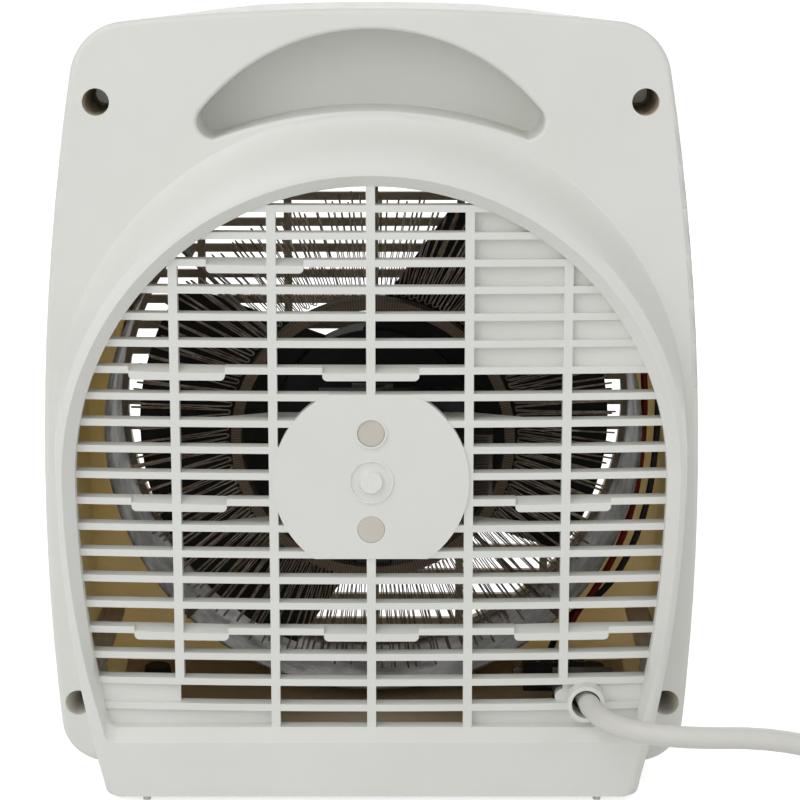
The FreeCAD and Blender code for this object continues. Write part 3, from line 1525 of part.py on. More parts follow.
for made in doc.Objects:
    if "Invalid" in made.State or "Error" in made.State:
        raise RuntimeError("%s failed: %s" % (made.Name, made.State))
for label, made in NODES.items():
    if made.Shape.isNull() or not made.Shape.isValid():
        raise RuntimeError("%s has no valid shape" % label)

os.makedirs("parts", exist_ok=True)
for label, made in NODES.items():
    made.Shape.exportStep("parts/%s.step" % label)
    print("%-22s solids %2d volume %10.1f" % (label, len(made.Shape.Solids), made.Shape.Volume))
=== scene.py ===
import math
import random

import bpy
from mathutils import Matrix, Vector


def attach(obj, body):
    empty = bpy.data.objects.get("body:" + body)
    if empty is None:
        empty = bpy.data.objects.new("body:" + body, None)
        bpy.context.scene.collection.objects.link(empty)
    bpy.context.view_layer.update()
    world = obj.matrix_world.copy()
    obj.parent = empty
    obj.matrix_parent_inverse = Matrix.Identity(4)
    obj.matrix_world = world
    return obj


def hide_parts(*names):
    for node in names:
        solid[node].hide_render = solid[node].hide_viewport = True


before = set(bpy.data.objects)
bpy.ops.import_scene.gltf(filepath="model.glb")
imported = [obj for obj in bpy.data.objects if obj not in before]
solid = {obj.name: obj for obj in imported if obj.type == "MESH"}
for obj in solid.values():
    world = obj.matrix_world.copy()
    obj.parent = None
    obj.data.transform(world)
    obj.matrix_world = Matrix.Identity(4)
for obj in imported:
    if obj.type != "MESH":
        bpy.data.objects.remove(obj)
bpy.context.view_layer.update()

# Measures are in millimetres, apart from those of the camera, the floor and the lights
MM = 0.001
AXIS_Z = 108.5
MERGE_DISTANCE = 0.004
FLAT_WITHIN = 0.4


# Working on one piece at a time

def only(piece):
    bpy.ops.object.select_all(action="DESELECT")
    piece.select_set(True)
    bpy.context.view_layer.objects.active = piece


def open_mesh(piece, kind="FACE"):
    only(piece)
    bpy.ops.object.mode_set(mode="EDIT")
    bpy.ops.mesh.select_mode(type=kind)
    bpy.ops.mesh.select_all(action="SELECT")


def close_mesh():
    bpy.ops.object.mode_set(mode="OBJECT")


def finish_with(piece, kind, **settings):
    """Add a modifier and apply it."""
    only(piece)
    made = piece.modifiers.new(kind.lower(), kind)
    for setting, value in settings.items():
        setattr(made, setting, value)
    bpy.ops.object.modifier_apply(modifier=made.name)


def soften(piece, width, segments=2, angle=32):
    """Small rounds on the sharp edges, and smooth shading between them."""
    finish_with(piece, "BEVEL", width=width * MM, segments=segments, limit_method="ANGLE",
                angle_limit=math.radians(angle), use_clamp_overlap=True)
    only(piece)
    bpy.ops.object.shade_smooth_by_angle(angle=math.radians(angle))
    finish_with(piece, "WEIGHTED_NORMAL", keep_sharp=True, weight=60)


def settle(piece, name):
    """Put a piece's place into its mesh."""
    only(piece)
    bpy.ops.object.transform_apply(location=True, rotation=True, scale=True)
    piece.name = name
    piece.data.name = name
    return piece


def carry(piece, body, slot, *replaced):
    """Put a piece under its body and hide the solids that it stands for; its slot is not used."""
    if replaced:
        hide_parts(*replaced)
    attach(piece, body)
    return piece


def paint(piece, *finishes):
    piece.data.materials.clear()
    for one in finishes:
        piece.data.materials.append(one)
    return piece


def traced(node, name, reshaped=None):
    """A merged copy of a solid, with its flat faces in one piece, to be shaped further."""
    piece = bpy.data.objects.new(name, solid[node].data.copy())
    bpy.context.scene.collection.objects.link(piece)
    piece.data.name = name
    open_mesh(piece)
    bpy.ops.mesh.customdata_custom_splitnormals_clear()
    bpy.ops.mesh.remove_doubles(threshold=MERGE_DISTANCE * MM)
    close_mesh()
    if reshaped:
        reshaped(piece)
    open_mesh(piece)
    bpy.ops.mesh.dissolve_limited(angle_limit=math.radians(FLAT_WITHIN))
    close_mesh()
    return piece


# Finishes

def seen(red, green, blue):
    """Scene colour of a colour named as it looks on a screen, 0 to 255."""
    shares = [c / 255 for c in (red, green, blue)]
    return tuple(s / 12.92 if s <= 0.04045 else ((s + 0.055) / 1.055) ** 2.4 for s in shares) + (1.0,)


def place(tree, kind, inputs=None, **settings):
    """A node with its settings, and with a value or a link on each named or numbered input."""
    made = tree.nodes.new(kind)
    for setting, value in settings.items():
        setattr(made, setting, value)
    for socket, value in (inputs or {}).items():
        if isinstance(value, bpy.types.NodeSocket):
            tree.links.new(value, made.inputs[socket])
        else:
            made.inputs[socket].default_value = value
    return made


def effect(name, inputs, outputs):
    """An empty node group with named sockets: (name, kind, value)."""
    made = bpy.data.node_groups.new(name, "ShaderNodeTree")
    for socket, kind, value in inputs:
        given = made.interface.new_socket(socket, in_out="INPUT", socket_type="NodeSocket" + kind)
        given.default_value = value
    for socket, kind in outputs:
        made.interface.new_socket(socket, in_out="OUTPUT", socket_type="NodeSocket" + kind)
    return made, made.nodes.new("NodeGroupInput"), made.nodes.new("NodeGroupOutput")


def mixed(tree, share, first, second):
    """A mix of two colours, which are inputs 6 and 7 and output 2 of the mixing node."""
    return place(tree, "ShaderNodeMix", {0: share, 6: first, 7: second}, data_type="RGBA").outputs[2]


def worked(tree, operation, first, second):
    return place(tree, "ShaderNodeMath", {0: first, 1: second}, operation=operation).outputs[0]


def remapped(tree, value, low, high, to_low, to_high):
    made = place(tree, "ShaderNodeMapRange", {"Value": value, "From Min": low, "From Max": high,
                                              "To Min": to_low, "To Max": to_high})
    return made.outputs[0]


def moulded_skin():
    """Moulded plastic: cloudy colour, dust on upward faces, a fine grain and uneven gloss."""
    tree, given, put = effect(
        "moulded skin",
        [("Colour", "Color", (0.8, 0.8, 0.8, 1)), ("Cloud Colour", "Color", (0.7, 0.7, 0.7, 1)),
         ("Dust Colour", "Color", (0.6, 0.58, 0.5, 1)), ("Dust", "Float", 0.1), ("Roughness", "Float", 0.4),
         ("Grain Scale", "Float", 1500.0)],
        [("Colour", "Color"), ("Roughness", "Float"), ("Height", "Float")])
    place_on = place(tree, "ShaderNodeTexCoord").outputs["Object"]
    cloud = place(tree, "ShaderNodeTexNoise", {"Vector": place_on, "Scale": 14.0, "Detail": 4.0,
                                               "Roughness": 0.6})
    speck = place(tree, "ShaderNodeTexNoise", {"Vector": place_on, "Scale": 210.0, "Detail": 3.0})
    grain = place(tree, "ShaderNodeTexNoise", {"Vector": place_on, "Scale": given.outputs["Grain Scale"],
                                               "Detail": 2.0})
    normal = place(tree, "ShaderNodeNewGeometry").outputs["Normal"]
    facing = place(tree, "ShaderNodeSeparateXYZ", {"Vector": normal})
    clouded = mixed(tree, remapped(tree, cloud.outputs[0], 0.38, 0.66, 0.0, 1.0), given.outputs["Colour"],
                    given.outputs["Cloud Colour"])
    upward = remapped(tree, facing.outputs["Z"], 0.1, 0.95, 0.0, 1.0)
    up = worked(tree, "MULTIPLY", upward, given.outputs["Dust"])
    dusty = worked(tree, "MULTIPLY", up, remapped(tree, speck.outputs[0], 0.3, 0.7, 0.3, 1.0))
    tree.links.new(mixed(tree, dusty, clouded, given.outputs["Dust Colour"]), put.inputs["Colour"])
    uneven = remapped(tree, speck.outputs[0], 0.3, 0.7, -0.05, 0.06)
    tree.links.new(worked(tree, "ADD", worked(tree, "ADD", given.outputs["Roughness"], uneven), dusty),
                   put.inputs["Roughness"])
    tree.links.new(grain.outputs[0], put.inputs["Height"])
    return tree


def metal_skin():
    """Sheet, drawn or cast metal: spangle, stains and uneven polish."""
    tree, given, put = effect(
        "metal skin",
        [("Colour", "Color", (0.6, 0.6, 0.6, 1)), ("Stain Colour", "Color", (0.3, 0.25, 0.2, 1)),
         ("Stain", "Float", 0.3), ("Roughness", "Float", 0.35), ("Spangle Scale", "Float", 120.0)],
        [("Colour", "Color"), ("Roughness", "Float"), ("Height", "Float")])
    place_on = place(tree, "ShaderNodeTexCoord").outputs["Object"]
    spangle = place(tree, "ShaderNodeTexVoronoi", {"Vector": place_on,
                                                   "Scale": given.outputs["Spangle Scale"]})
    stain = place(tree, "ShaderNodeTexNoise", {"Vector": place_on, "Scale": 55.0, "Detail": 5.0,
                                               "Roughness": 0.65})
    tone = place(tree, "ShaderNodeRGBToBW", {"Color": spangle.outputs["Color"]}).outputs[0]
    gleam = remapped(tree, tone, 0.1, 0.9, 0.0, 0.22)
    lit = mixed(tree, gleam, given.outputs["Colour"], (1.0, 1.0, 1.0, 1.0))
    patches = remapped(tree, stain.outputs[0], 0.42, 0.68, 0.0, 1.0)
    share = worked(tree, "MULTIPLY", patches, given.outputs["Stain"])
    tree.links.new(mixed(tree, share, lit, given.outputs["Stain Colour"]), put.inputs["Colour"])
    uneven = remapped(tree, tone, 0.0, 1.0, -0.07, 0.07)
    dulled = worked(tree, "ADD", given.outputs["Roughness"], uneven)
    tree.links.new(worked(tree, "ADD", dulled, worked(tree, "MULTIPLY", share, 0.4)), put.inputs["Roughness"])
    tree.links.new(stain.outputs[0], put.inputs["Height"])
    return tree


SKINS = {"moulded": moulded_skin(), "metal": metal_skin()}
METAL_BUMP = (0.15, 0.1)


def finish(name, skin, bump, values, **sockets):
    """A finish from one of the shared skins; sockets are plain values on the shader."""
    made = bpy.data.materials.new(name)
    made.use_nodes = True
    tree = made.node_tree
    shader = tree.nodes["Principled BSDF"]
    group = place(tree, "ShaderNodeGroup", values, node_tree=SKINS[skin])
    tree.links.new(group.outputs["Colour"], shader.inputs["Base Color"])
    tree.links.new(group.outputs["Roughness"], shader.inputs["Roughness"])
    relief = place(tree, "ShaderNodeBump", {"Strength": bump[0], "Distance": bump[1] * MM,
                                            "Height": group.outputs["Height"]})
    tree.links.new(relief.outputs[0], shader.inputs["Normal"])
    for socket, value in sockets.items():
        shader.inputs[socket.replace("_", " ")].default_value = value
    return made


def plastic(name, colour, cloud, roughness, dust=0.06, grain=1500.0, bump=(0.12, 0.1), **sockets):
    values = {"Colour": seen(*colour), "Cloud Colour": seen(*cloud), "Roughness": roughness, "Dust": dust,
              "Grain Scale": grain}
    return finish(name, "moulded", bump, values, **sockets)


def metal(name, colour, stain, amount, roughness, spangle=120.0):
    values = {"Colour": seen(*colour), "Stain Colour": seen(*stain), "Stain": amount, "Roughness": roughness,
              "Spangle Scale": spangle}
    return finish(name, "metal", METAL_BUMP, values, Metallic=1.0)


# The radius at which the pitch of lines round the axis counts
BAND_MIDDLE = 48.0


def striped(name, made, direction, pitch, dark):
    """A finish with darker lines at an even pitch in millimetres, along a direction or round the axis."""
    made.name = name
    tree = made.node_tree
    shader = tree.nodes["Principled BSDF"]
    centred = place(tree, "ShaderNodeMapping", {"Vector": place(tree, "ShaderNodeTexCoord").outputs["Object"],
                                                "Location": (0, 0, -AXIS_Z * MM)})
    parts = place(tree, "ShaderNodeSeparateXYZ", {"Vector": centred.outputs[0]})
    if direction == "ROUND":
        turn = worked(tree, "ARCTAN2", parts.outputs["Z"], parts.outputs["X"])
        way = worked(tree, "MULTIPLY", turn, BAND_MIDDLE * MM)
    else:
        way = parts.outputs[direction]
    line = worked(tree, "SINE", worked(tree, "MULTIPLY", way, 2 * math.pi / (pitch * MM)), 0.0)
    plain_colour = shader.inputs["Base Color"].links[0].from_socket
    tree.links.new(mixed(tree, remapped(tree, line, -0.4, 0.6, 0.0, 0.85), plain_colour, seen(*dark)),
                   shader.inputs["Base Color"])
    return made


ivory = plastic("ivory casing", (228, 229, 224), (224, 225, 219), 0.45, IOR=1.5)
sprue = plastic("cut sprue", (236, 236, 232), (222, 222, 216), 0.28, grain=420.0, bump=(0.5, 0.4))
# Painted shade: the blank plates are the ivory moulding, painted darker for their recess behind the bars
blank_plate_shade = plastic("blank plates in painted shade", (200, 202, 197), (195, 197, 191), 0.5)
# Painted shade: the inside of the upper screw wells, painted a darker warm tone
well_shade = plastic("painted shade inside the upper screw wells", (216, 208, 190), (206, 197, 177), 0.55)
# Painted shade: the inside of the casing is the same ivory plastic, painted tan as warm shade; the subsurface
# scatter lets light through the wall
shaded = plastic("painted tan shade inside the casing", (245, 225, 198), (237, 215, 184), 0.55, Subsurface_Weight=0.8,
                 Subsurface_Radius=(1.0, 0.93, 0.8), Subsurface_Scale=0.006)
# Painted light: the inside of the lower screw wells, painted as a lighter copy of the ivory
well_painted_light = plastic("painted light inside the lower screw wells", (240, 236, 228), (233, 229, 219), 0.5,
                    Subsurface_Weight=0.8, Subsurface_Radius=(1.0, 0.97, 0.9), Subsurface_Scale=0.006)
# Painted shade: upward inside faces near the floor, painted a deeper tan
tan_floor_shade = plastic("painted deeper tan shade on the casing floor", (222, 197, 158), (212, 186, 145), 0.55, 0.0)
# Beige guard plastic, with a brownish tint that is partly painted warm shade
guard = plastic("outlet guard with painted warm shade", (206, 190, 166), (196, 178, 150), 0.5)
zinc = metal("galvanised duct", (138, 138, 136), (98, 94, 88), 0.55, 0.58, 260.0)
wire = metal("resistance wire", (134, 122, 106), (76, 64, 51), 0.6, 0.38, 500.0)
black = plastic("black fan", (12, 12, 12), (16, 16, 15), 0.6, 0.05, Specular_IOR_Level=0.3)
caps = plastic("beige caps", (206, 201, 190), (199, 193, 180), 0.5)
# Painted shade: the motor's laminations, winding and brackets are darker than their own colours, for the
# shade they lie in behind the hub
core_dark_as_shade = striped("lamination steel", metal("plain lamination steel", (44, 44, 46), (28, 25, 23), 0.5, 0.55),
               "Y", 1.0, (20, 19, 18))
winding = plastic("enamelled winding darkened as painted shade", (46, 27, 19), (34, 20, 15), 0.35)
alloy_dark_as_shade = metal("die-cast brackets darkened as painted shade", (58, 58, 58), (40, 38, 36), 0.5, 0.55)
bronze = metal("sintered bronze", (166, 128, 74), (100, 74, 44), 0.4, 0.45)
steel = metal("zinc screws", (168, 166, 160), (104, 98, 88), 0.4, 0.35)
ebony = plastic("black component", (24, 24, 24), (30, 29, 28), 0.5)
knob_grey = plastic("knob grey", (150, 150, 148), (142, 142, 140), 0.45)
print_white = plastic("pointer white", (236, 236, 232), (228, 228, 224), 0.5)
print_grey = plastic("dial marks", (92, 94, 96), (84, 86, 88), 0.55)
amber = plastic("amber lens", (222, 104, 34), (206, 90, 28), 0.2, Transmission_Weight=0.6)
rubber = plastic("foot rubber", (28, 28, 28), (36, 35, 34), 0.75, bump=(0.3, 0.2))
red = plastic("red lead", (146, 26, 24), (128, 22, 20), 0.5)
navy = plastic("dark lead", (26, 26, 34), (34, 34, 42), 0.5)
blue = plastic("supply lead", (38, 62, 140), (44, 58, 120), 0.5)
brown = plastic("second supply lead", (92, 56, 34), (80, 48, 30), 0.5)
sheath = plastic("white cord sheath", (220, 219, 214), (214, 213, 207), 0.45, 0.03, 900.0)
strap = plastic("tie", (222, 221, 215), (214, 213, 206), 0.5)
nickel = metal("nickel pins", (196, 188, 172), (150, 138, 118), 0.3, 0.25)
mica = plastic("mica", (92, 80, 66), (74, 62, 50), 0.6, bump=(0.4, 0.2))
woven = striped("woven band", plastic("plain band", (134, 117, 99), (108, 92, 76), 0.75, bump=(0.4, 0.2)),
                "ROUND", 0.9, (82, 69, 57))


# Casing, from its solids with the mould's small rounds

REAR_FACE = -52.0
SEAM = -16.0
SEAM_ROUND = 0.6
RIM_ROUND = 1.5
SCREW_WELLS = [(87.4, 229.1), (98.3, 28.5)]
WELL_REACH = 5.8
WELL_START, WELL_END = -51.5, -17.0
NUB_REACH = 4.6
NUB_FACE = -67.0
BLANK_START, BLANK_END = -61.5, -57.0
BLANK_REACH = 104.0
CUP_LOW = 205.0
CUP_HALF = 62.0
CUP_END = -27.0
FLOOR_TOP = 20.0
RECESS_LOW = 212.0
RECESS_HALF = 60.0

# The top's fall: share of the depth, the height where it sets in, and how much sooner near the corners
TOP_FALL = 0.063
TOP_START = 239.0
TOP_SPAN = 13.0
CORNER_SOONER = 18.0
CORNER_START, CORNER_SPAN = 66.0, 14.0
REAR_FALL_START, REAR_FALL_SPAN = 40.0, 36.0


def inward(face, depth, back):
    """Whether a face is on the inside of a shell, past a depth; back is the sign of y that it faces."""
    x, y, z = (c / MM for c in face.center)
    if y < depth or (z > CUP_LOW and abs(x) < CUP_HALF and y < CUP_END):
        return False
    away = Vector((x, 0, z - AXIS_Z)).normalized()
    if abs(y - SEAM) < SEAM_ROUND + 0.1 and face.normal.dot(away) > 0.05:
        return False
    return face.normal.dot(away) < -0.15 or face.normal.y * back > 0.6


def eased(value, start, span):
    """How far a value is through a span, from 0 to 1."""
    return min(max((value - start) / span, 0.0), 1.0)


def lower_top(piece):
    """Let the top fall gently towards the front, and sooner towards its corners."""
    for vertex in piece.data.vertices:
        x, y, z = (c / MM for c in vertex.co)
        sooner = CORNER_SOONER * eased(abs(x), CORNER_START, CORNER_SPAN)
        share = eased(z, TOP_START - sooner, TOP_SPAN + sooner)
        behind_seam = eased(abs(x), REAR_FALL_START, REAR_FALL_SPAN) * max(min(y, SEAM) - REAR_FACE, 0.0)
        run = behind_seam + max(y - SEAM, 0.0)
        vertex.co.z -= TOP_FALL * run * (3 - 2 * share) * share ** 2 * MM


def round_edges(piece, wanted, width, segments, clamped):
    """Round the edges that a test picks by their middle and the normals beside them."""
    open_mesh(piece, "EDGE")
    bpy.ops.mesh.select_all(action="DESELECT")
    close_mesh()
    beside = {}
    for face in piece.data.polygons:
        for pair in face.edge_keys:
            beside.setdefault(pair, []).append(face.normal)
    for edge in piece.data.edges:
        ends = [piece.data.vertices[v].co / MM for v in edge.vertices]
        edge.select = wanted((ends[0] + ends[1]) / 2, beside[edge.key])
    only(piece)
    bpy.ops.object.mode_set(mode="EDIT")
    bpy.ops.mesh.bevel(offset=width * MM, segments=segments, clamp_overlap=clamped)
    close_mesh()


def on_recess_rim(middle, normals):
    """Where the handle recess meets the rear face."""
    tilts = sorted(normal.y for normal in normals)
    near = middle.y < REAR_FACE + 1.0 and middle.z > RECESS_LOW and abs(middle.x) < RECESS_HALF
    return near and tilts[0] < -0.6 and abs(tilts[-1]) < 0.4


def on_seam(middle, normals):
    """Where the two halves meet on the outside."""
    away = Vector((middle.x, 0, middle.z - AXIS_Z)).normalized()
    outside = any(normal.dot(away) > 0.4 for normal in normals)
    return abs(middle.y - SEAM) < 0.05 and outside and any(abs(normal.y) > 0.9 for normal in normals)


def casing_half(node, name, depth, back, width):
    """One half of the casing, ivory outside, with painted shade inside: tan from a given depth on, a deeper
    tan on the floor, darker in the upper screw wells and on the blank plates, and painted light in the lower
    screw wells.
    """
    piece = traced(node, name, lower_top)
    if node == "rear_cover":
        round_edges(piece, on_recess_rim, RIM_ROUND, 4, True)
    round_edges(piece, on_seam, SEAM_ROUND, 2, False)
    soften(piece, width)
    finishes = [ivory, shaded, well_shade, sprue, blank_plate_shade, tan_floor_shade, well_painted_light]
    paint(piece, *finishes)
    for face in piece.data.polygons:
        x, y, z = (c / MM for c in face.center)
        reach = math.hypot(x, z - AXIS_Z)
        beside_well = any(math.hypot(abs(x) - wx, z - wz) < WELL_REACH for wx, wz in SCREW_WELLS)
        if reach < NUB_REACH and y < NUB_FACE:
            dress = sprue
        # Painted shade in the upper screw wells, painted light in the lower ones
        elif beside_well and WELL_START < y < WELL_END:
            dress = well_shade if z > AXIS_Z else well_painted_light
        # Blank plates painted darker, as shade in the recess behind the bars
        elif BLANK_START < y < BLANK_END and face.normal.y < -0.8 and reach < BLANK_REACH:
            dress = blank_plate_shade
        # Painted shade: inward faces take the tan shade, and upward ones low on the floor a deeper tan
        elif inward(face, depth, back):
            dress = tan_floor_shade if face.normal.z > 0.95 and z < FLOOR_TOP else shaded
        else:
            dress = ivory
        face.material_index = finishes.index(dress)
    return carry(piece, "casing", "casing_white", node)


casing_half("rear_cover", "rear_cover_shell", -57.5, 1, 0.4)
front_shell = casing_half("front_casing", "front_shell", -20.0, -1, 0.4)


# Rigid pieces inside and outside, from their solids with softened edges

def dressed(node, name, body, slot, dress, width=0.3, segments=2):
    piece = paint(traced(node, name), dress)
    soften(piece, width, segments)
    return carry(piece, body, slot, node)


dressed("front_grille", "outlet_guard", "casing", "casing_white", guard, 0.4)
dressed("outlet_duct", "duct_sleeve", "casing", "galvanised_steel", zinc, 0.2)
dressed("motor_core", "lamination_stack", "casing", "lamination_steel", core_dark_as_shade, 0.2)
dressed("motor_rear_bracket", "rear_bearing_strap", "casing", "bracket_alloy", alloy_dark_as_shade, 0.4)
dressed("motor_front_bracket", "front_bearing_strap", "casing", "bracket_alloy", alloy_dark_as_shade, 0.4)
dressed("motor_bearings", "bearing_bushes", "casing", "bronze", bronze, 0.25)
dressed("motor_shaft", "rotor_shaft", "fan_rotor", "bright_steel", steel, 0.4)
dressed("motor_rotor", "cage_rotor", "fan_rotor", "lamination_steel", core_dark_as_shade, 0.3)
dressed("fan_nut", "blade_nut", "fan_rotor", "bronze", bronze, 0.4)
dressed("motor_screws", "motor_fixing_screws", "casing", "bright_steel", steel, 0.3)
dressed("motor_screw_caps", "screw_caps", "casing", "cap_beige", caps, 0.25)
dressed("thermal_cutout", "cutout_can", "casing", "component_black", ebony, 0.8, 3)
dressed("thermostat_body", "thermostat_case", "casing", "component_black", ebony, 1.0, 3)
dressed("selector_body", "selector_case", "casing", "component_black", ebony, 1.0, 3)
dressed("thermostat_spindle", "thermostat_shaft", "thermostat_dial", "bright_steel", steel, 0.3)
dressed("selector_spindle", "selector_shaft", "selector_dial", "bright_steel", steel, 0.3)
dressed("indicator_lens", "lamp_lens", "casing", "lens_amber", amber, 0.6, 4)
dressed("case_screws", "casing_screws", "casing", "bright_steel", steel, 0.4)
dressed("front_feet", "rubber_feet", "casing", "foot_rubber", rubber, 0.7, 3)
dressed("cord_clamp", "clamp_saddle", "casing", "component_black", ebony, 0.7, 3)
dressed("clamp_screws", "saddle_screws", "casing", "bright_steel", steel, 0.4)


# Fan and knobs

BLADE_START = 36.0
BLADE_LENGTH = 44.0
TIP_GROWTH = 3.2


def two_blade_fan():
    """The fan, its blades drawn out to the tip radius that the photograph shows."""
    piece = traced("fan", "two_blade_fan")
    for vertex in piece.data.vertices:
        spoke = Vector((vertex.co.x, 0, vertex.co.z - AXIS_Z * MM))
        reach = spoke.length / MM
        if reach > BLADE_START:
            vertex.co += spoke * (TIP_GROWTH * (reach - BLADE_START) / BLADE_LENGTH / reach)
    paint(piece, black)
    soften(piece, 0.35)
    carry(piece, "fan_rotor", "fan_black", "fan")


two_blade_fan()


KNOB_X = 62.0
KNOB_Z = 227.0
POINTER_HALF = 0.7
POINTER_START = 4.0
POINTER_FACE = 67.5


def cut_plane(point, normal):
    """Cut all edges of the open mesh along a plane."""
    bpy.ops.mesh.select_all(action="SELECT")
    bpy.ops.mesh.bisect(plane_co=[c * MM for c in point], plane_no=normal)


def knob(node, name, body, x):
    """A moulded knob with a white pointer let into its grip."""
    piece = traced(node, name)
    open_mesh(piece)
    cut_plane((x - POINTER_HALF, 0, 0), (1, 0, 0))
    cut_plane((x + POINTER_HALF, 0, 0), (1, 0, 0))
    cut_plane((0, 0, KNOB_Z + POINTER_START), (0, 0, 1))
    close_mesh()
    paint(piece, knob_grey, print_white)
    for face in piece.data.polygons:
        across, out, up = (c / MM for c in face.center)
        on_pointer = abs(across - x) < POINTER_HALF and up > KNOB_Z + POINTER_START
        face.material_index = 1 if on_pointer and out > POINTER_FACE else 0
    soften(piece, 0.6, 3)
    return carry(piece, body, "knob_grey", node)


knob("thermostat_knob", "thermostat_dial_knob", "thermostat_dial", KNOB_X)
knob("selector_knob", "selector_dial_knob", "selector_dial", -KNOB_X)


# Marks round the dials

MARK_START = 66.0
TICK_REACH = 20.2
TICK_LENGTH = 2.2
THERMOSTAT_TICKS = 13
THERMOSTAT_TURN = 270
THERMOSTAT_WIDTH, THERMOSTAT_GROWTH = 0.5, 0.07
SELECTOR_TICKS = 4
SELECTOR_STEP = 45
SELECTOR_WIDTH, SELECTOR_GROWTH = 0.6, 0.25
PRINT_CLEAR = 0.02
PRINT_THICKNESS = 0.06


def joined(name, pieces):
    bpy.ops.object.select_all(action="DESELECT")
    for one in pieces:
        one.select_set(True)
    bpy.context.view_layer.objects.active = pieces[0]
    bpy.ops.object.join()
    return settle(bpy.context.object, name)


def tick(knob_x, turn, wide):
    """A flat mark in front of the casing, a turn on from the top of a knob, to be laid on its face."""
    away = math.radians(90 + turn)
    x = knob_x + TICK_REACH * math.cos(away)
    z = KNOB_Z + TICK_REACH * math.sin(away)
    bpy.ops.object.select_all(action="DESELECT")
    bpy.ops.mesh.primitive_plane_add(size=1, location=(x * MM, MARK_START * MM, z * MM),
                                     rotation=(math.radians(-90), math.radians(-turn), 0))
    piece = bpy.context.object
    piece.scale = (wide * MM, TICK_LENGTH * MM, 1)
    open_mesh(piece)
    bpy.ops.mesh.subdivide(number_cuts=3)
    close_mesh()
    return settle(piece, "mark")


def dial_marks():
    """Ticks round both knobs that grow with the setting, laid on the front face as a thin print."""
    marks = []
    for k in range(THERMOSTAT_TICKS):
        turn = THERMOSTAT_TURN * k / (THERMOSTAT_TICKS - 1)
        marks.append(tick(KNOB_X, turn, THERMOSTAT_WIDTH + THERMOSTAT_GROWTH * k))
    for k in range(SELECTOR_TICKS):
        marks.append(tick(-KNOB_X, SELECTOR_STEP * k, SELECTOR_WIDTH + SELECTOR_GROWTH * k))
    piece = joined("dial_print", marks)
    finish_with(piece, "SHRINKWRAP", target=front_shell, wrap_method="PROJECT", use_project_y=True,
                use_negative_direction=True, use_positive_direction=False, offset=PRINT_CLEAR * MM)
    finish_with(piece, "SOLIDIFY", thickness=PRINT_THICKNESS * MM, offset=1.0)
    paint(piece, print_grey)
    return carry(piece, "casing", "knob_grey")


dial_marks()


# Terminal block with its clamp screws and bright tags

TERMINAL_SLOTS = [(58.0, 61.2), (63.4, 66.6), (68.8, 72.0)]
SLOT_RIM = 0.5
SLOT_DEPTH = 2.5
SCREW_ROWS = (17.5, 24.5)
SCREW_COLUMNS = (59.6, 65.0, 70.2)
SCREW_HEIGHT = 19.1
SCREW_RADIUS = 1.1
SCREW_LENGTH = 1.6


def screw_head(x, y):
    bpy.ops.object.select_all(action="DESELECT")
    bpy.ops.mesh.primitive_cylinder_add(vertices=14, radius=SCREW_RADIUS * MM, depth=SCREW_LENGTH * MM,
                                        location=(x * MM, y * MM, SCREW_HEIGHT * MM))
    return settle(bpy.context.object, "head")


def bent_tag(size, location, lean=0):
    bpy.ops.object.select_all(action="DESELECT")
    bpy.ops.mesh.primitive_cube_add(size=1, location=[c * MM for c in location],
                                    rotation=(0, math.radians(lean), 0))
    bpy.context.object.scale = [c * MM for c in size]
    return settle(bpy.context.object, "tag")


def terminal_strip():
    block = traced("terminal_block", "terminal_strip")
    open_mesh(block)
    for slot in TERMINAL_SLOTS:
        for x in slot:
            cut_plane((x, 0, 0), (1, 0, 0))
    bpy.ops.mesh.select_all(action="DESELECT")
    close_mesh()
    for face in block.data.polygons:
        over_slot = any(low < face.center.x / MM < high for low, high in TERMINAL_SLOTS)
        face.select = over_slot and face.normal.z > 0.9
    only(block)
    bpy.ops.object.mode_set(mode="EDIT")
    bpy.ops.mesh.inset(thickness=SLOT_RIM * MM, use_individual=True)
    bpy.ops.mesh.extrude_region_move(TRANSFORM_OT_translate={"value": (0, 0, -SLOT_DEPTH * MM)})
    close_mesh()
    paint(block, ebony)
    soften(block, 0.35)
    carry(block, "casing", "component_black", "terminal_block")
    heads = [screw_head(x, y) for x in SCREW_COLUMNS for y in SCREW_ROWS]
    tags = [bent_tag((4.4, 3.2, 0.8), (52.4, 17.0, 17.4)),
            bent_tag((2.2, 4.6, 5.2), (51.4, 17.0, 16.0), 12),
            bent_tag((2.2, 4.0, 4.4), (53.2, 24.0, 15.4))]
    metalwork = joined("terminal_metalwork", heads + tags)
    paint(metalwork, steel)
    soften(metalwork, 0.25)
    carry(metalwork, "casing", "bright_steel")


terminal_strip()


# Motor winding: turns of enamelled wire over a slightly smaller heart

WINDING_LOW = (18.7, -49.85)
WINDING_HIGH = (39.45, -18.95)
WINDING_TURNS = 23
WINDING_FOOT = 97.05
WINDING_HEIGHT = 22.9
WINDING_BEND = 4.0
WINDING_WIRE = 0.5
HEART_INSET = 0.55


def strand(name, points, radius, dress, sides):
    """A round strand on a smooth spline that follows its points, given in millimetres."""
    curve = bpy.data.curves.new(name, "CURVE")
    curve.dimensions = "3D"
    curve.bevel_depth = radius * MM
    curve.bevel_resolution = sides
    curve.resolution_u = 4
    curve.use_fill_caps = True
    spline = curve.splines.new("NURBS")
    spline.points.add(len(points) - 1)
    for knot, point in zip(spline.points, points):
        knot.co = (point[0] * MM, point[1] * MM, point[2] * MM, 1.0)
    spline.order_u = 3
    spline.use_endpoint_u = True
    piece = bpy.data.objects.new(name, curve)
    bpy.context.scene.collection.objects.link(piece)
    piece.data.materials.append(dress)
    return piece


